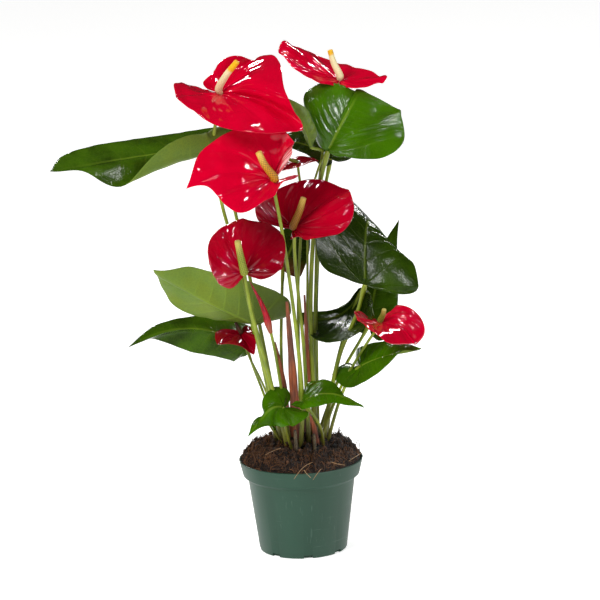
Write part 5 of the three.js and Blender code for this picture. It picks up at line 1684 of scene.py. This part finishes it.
class ANTHURIUM_OT_bud(bpy.types.Operator):
    """Grow the furled bud on its stalk."""

    bl_idname = "anthurium.bud"
    bl_label = "Bud"

    def execute(self, context):
        u, angle = along_and_around(90, 72)
        path = smooth_path([BUD["foot"], BUD["middle"], BUD["tip"]], len(u))
        profile = BUD["radius"] * np.minimum(0.5 + 2.6 * u, 1.05 - u**1.2) + 0.2
        wrap = (angle / (2 * np.pi) + 0.25 + 0.9 * u) % 1
        radii = profile * (0.96 + 0.13 * wrap) * (1 + 0.02 * np.cos(9 * angle + 4 * u))
        make_tube("bud", path, radii, bud_skin(), "spathe", "bud_furled", along=u)
        places = [*BUD["stalk_via"], BUD["foot"]]
        skin = stalk_skin("Flower stalk")
        build_stalk(
            "bud_stalk", BUD["stalk_foot"], places, BUD["stalk_radii"], skin, "stalk", "bud_furled_stalk"
        )
        return {"FINISHED"}


class ANTHURIUM_OT_sheaths(bpy.types.Operator):
    """Grow the dry sheaths between the stalks."""

    bl_idname = "anthurium.sheaths"
    bl_label = "Sheaths"

    def execute(self, context):
        u, angle = along_and_around(120, 60)
        for seed, (name, sheath) in enumerate(SHEATHS.items()):
            path = stalk_path(sheath["foot"], [sheath["via"], sheath["top"]], len(u))
            oval = np.hypot(sheath["width"] * np.cos(angle), sheath["depth"] * np.sin(angle))
            ribs = 1 + 0.06 * np.cos(11 * angle + seed) + 0.05 * np.cos(5 * angle + 7 * u)
            radii = oval * (1 - 0.75 * u**1.6) * ribs * (1 + 0.06 * np.sin(23 * u + seed))
            make_tube(f"dry_{name}", path, radii, sheath_skin(), "sheath", name)
        return {"FINISHED"}


class ANTHURIUM_OT_roots(bpy.types.Operator):
    """Grow the two aerial roots in front."""

    bl_idname = "anthurium.roots"
    bl_label = "Roots"

    def execute(self, context):
        u, angle = along_and_around(90, 28)
        for name, root in ROOTS.items():
            path = stalk_path(root["foot"], root["via"], len(u))
            radii = root["radius"] * (1 - 0.2 * u) * np.minimum(1, 6 * np.sqrt(1.001 - u))
            radii = radii * (1 + 0.08 * np.sin(31 * u + 2 * angle) + 0.05 * np.cos(3 * angle - 50 * u))
            make_tube(f"aerial_{name}", path, radii, root_skin(), "root", name)
        return {"FINISHED"}


OPERATORS = (
    ANTHURIUM_OT_stage,
    ANTHURIUM_OT_pot,
    ANTHURIUM_OT_soil,
    ANTHURIUM_OT_leaves,
    ANTHURIUM_OT_blooms,
    ANTHURIUM_OT_bud,
    ANTHURIUM_OT_sheaths,
    ANTHURIUM_OT_roots,
)


class ANTHURIUM_PT_panel(bpy.types.Panel):
    """The plant's pieces and the values that shape them."""

    bl_idname = "ANTHURIUM_PT_panel"
    bl_label = "Potted anthurium"
    bl_space_type = "VIEW_3D"
    bl_region_type = "UI"
    bl_category = "Anthurium"

    def draw(self, context):
        for operator in OPERATORS:
            self.layout.operator(operator.bl_idname)
        for key, group in LOOKS.items():
            box = self.layout.box()
            box.label(text=group.__doc__)
            for prop in group.__annotations__:
                box.prop(getattr(context.scene, key), prop)


CLASSES = (*LOOKS.values(), *OPERATORS, ANTHURIUM_PT_panel)


def register():
    for item in CLASSES:
        bpy.utils.register_class(item)
    for key, group in LOOKS.items():
        setattr(bpy.types.Scene, key, PointerProperty(type=group))


def unregister():
    for key in LOOKS:
        delattr(bpy.types.Scene, key)
    for item in reversed(CLASSES):
        bpy.utils.unregister_class(item)


def main():
    register()
    for operator in OPERATORS:
        group, name = operator.bl_idname.split(".")
        getattr(getattr(bpy.ops, group), name)()


if __name__ == "__main__":
    main()
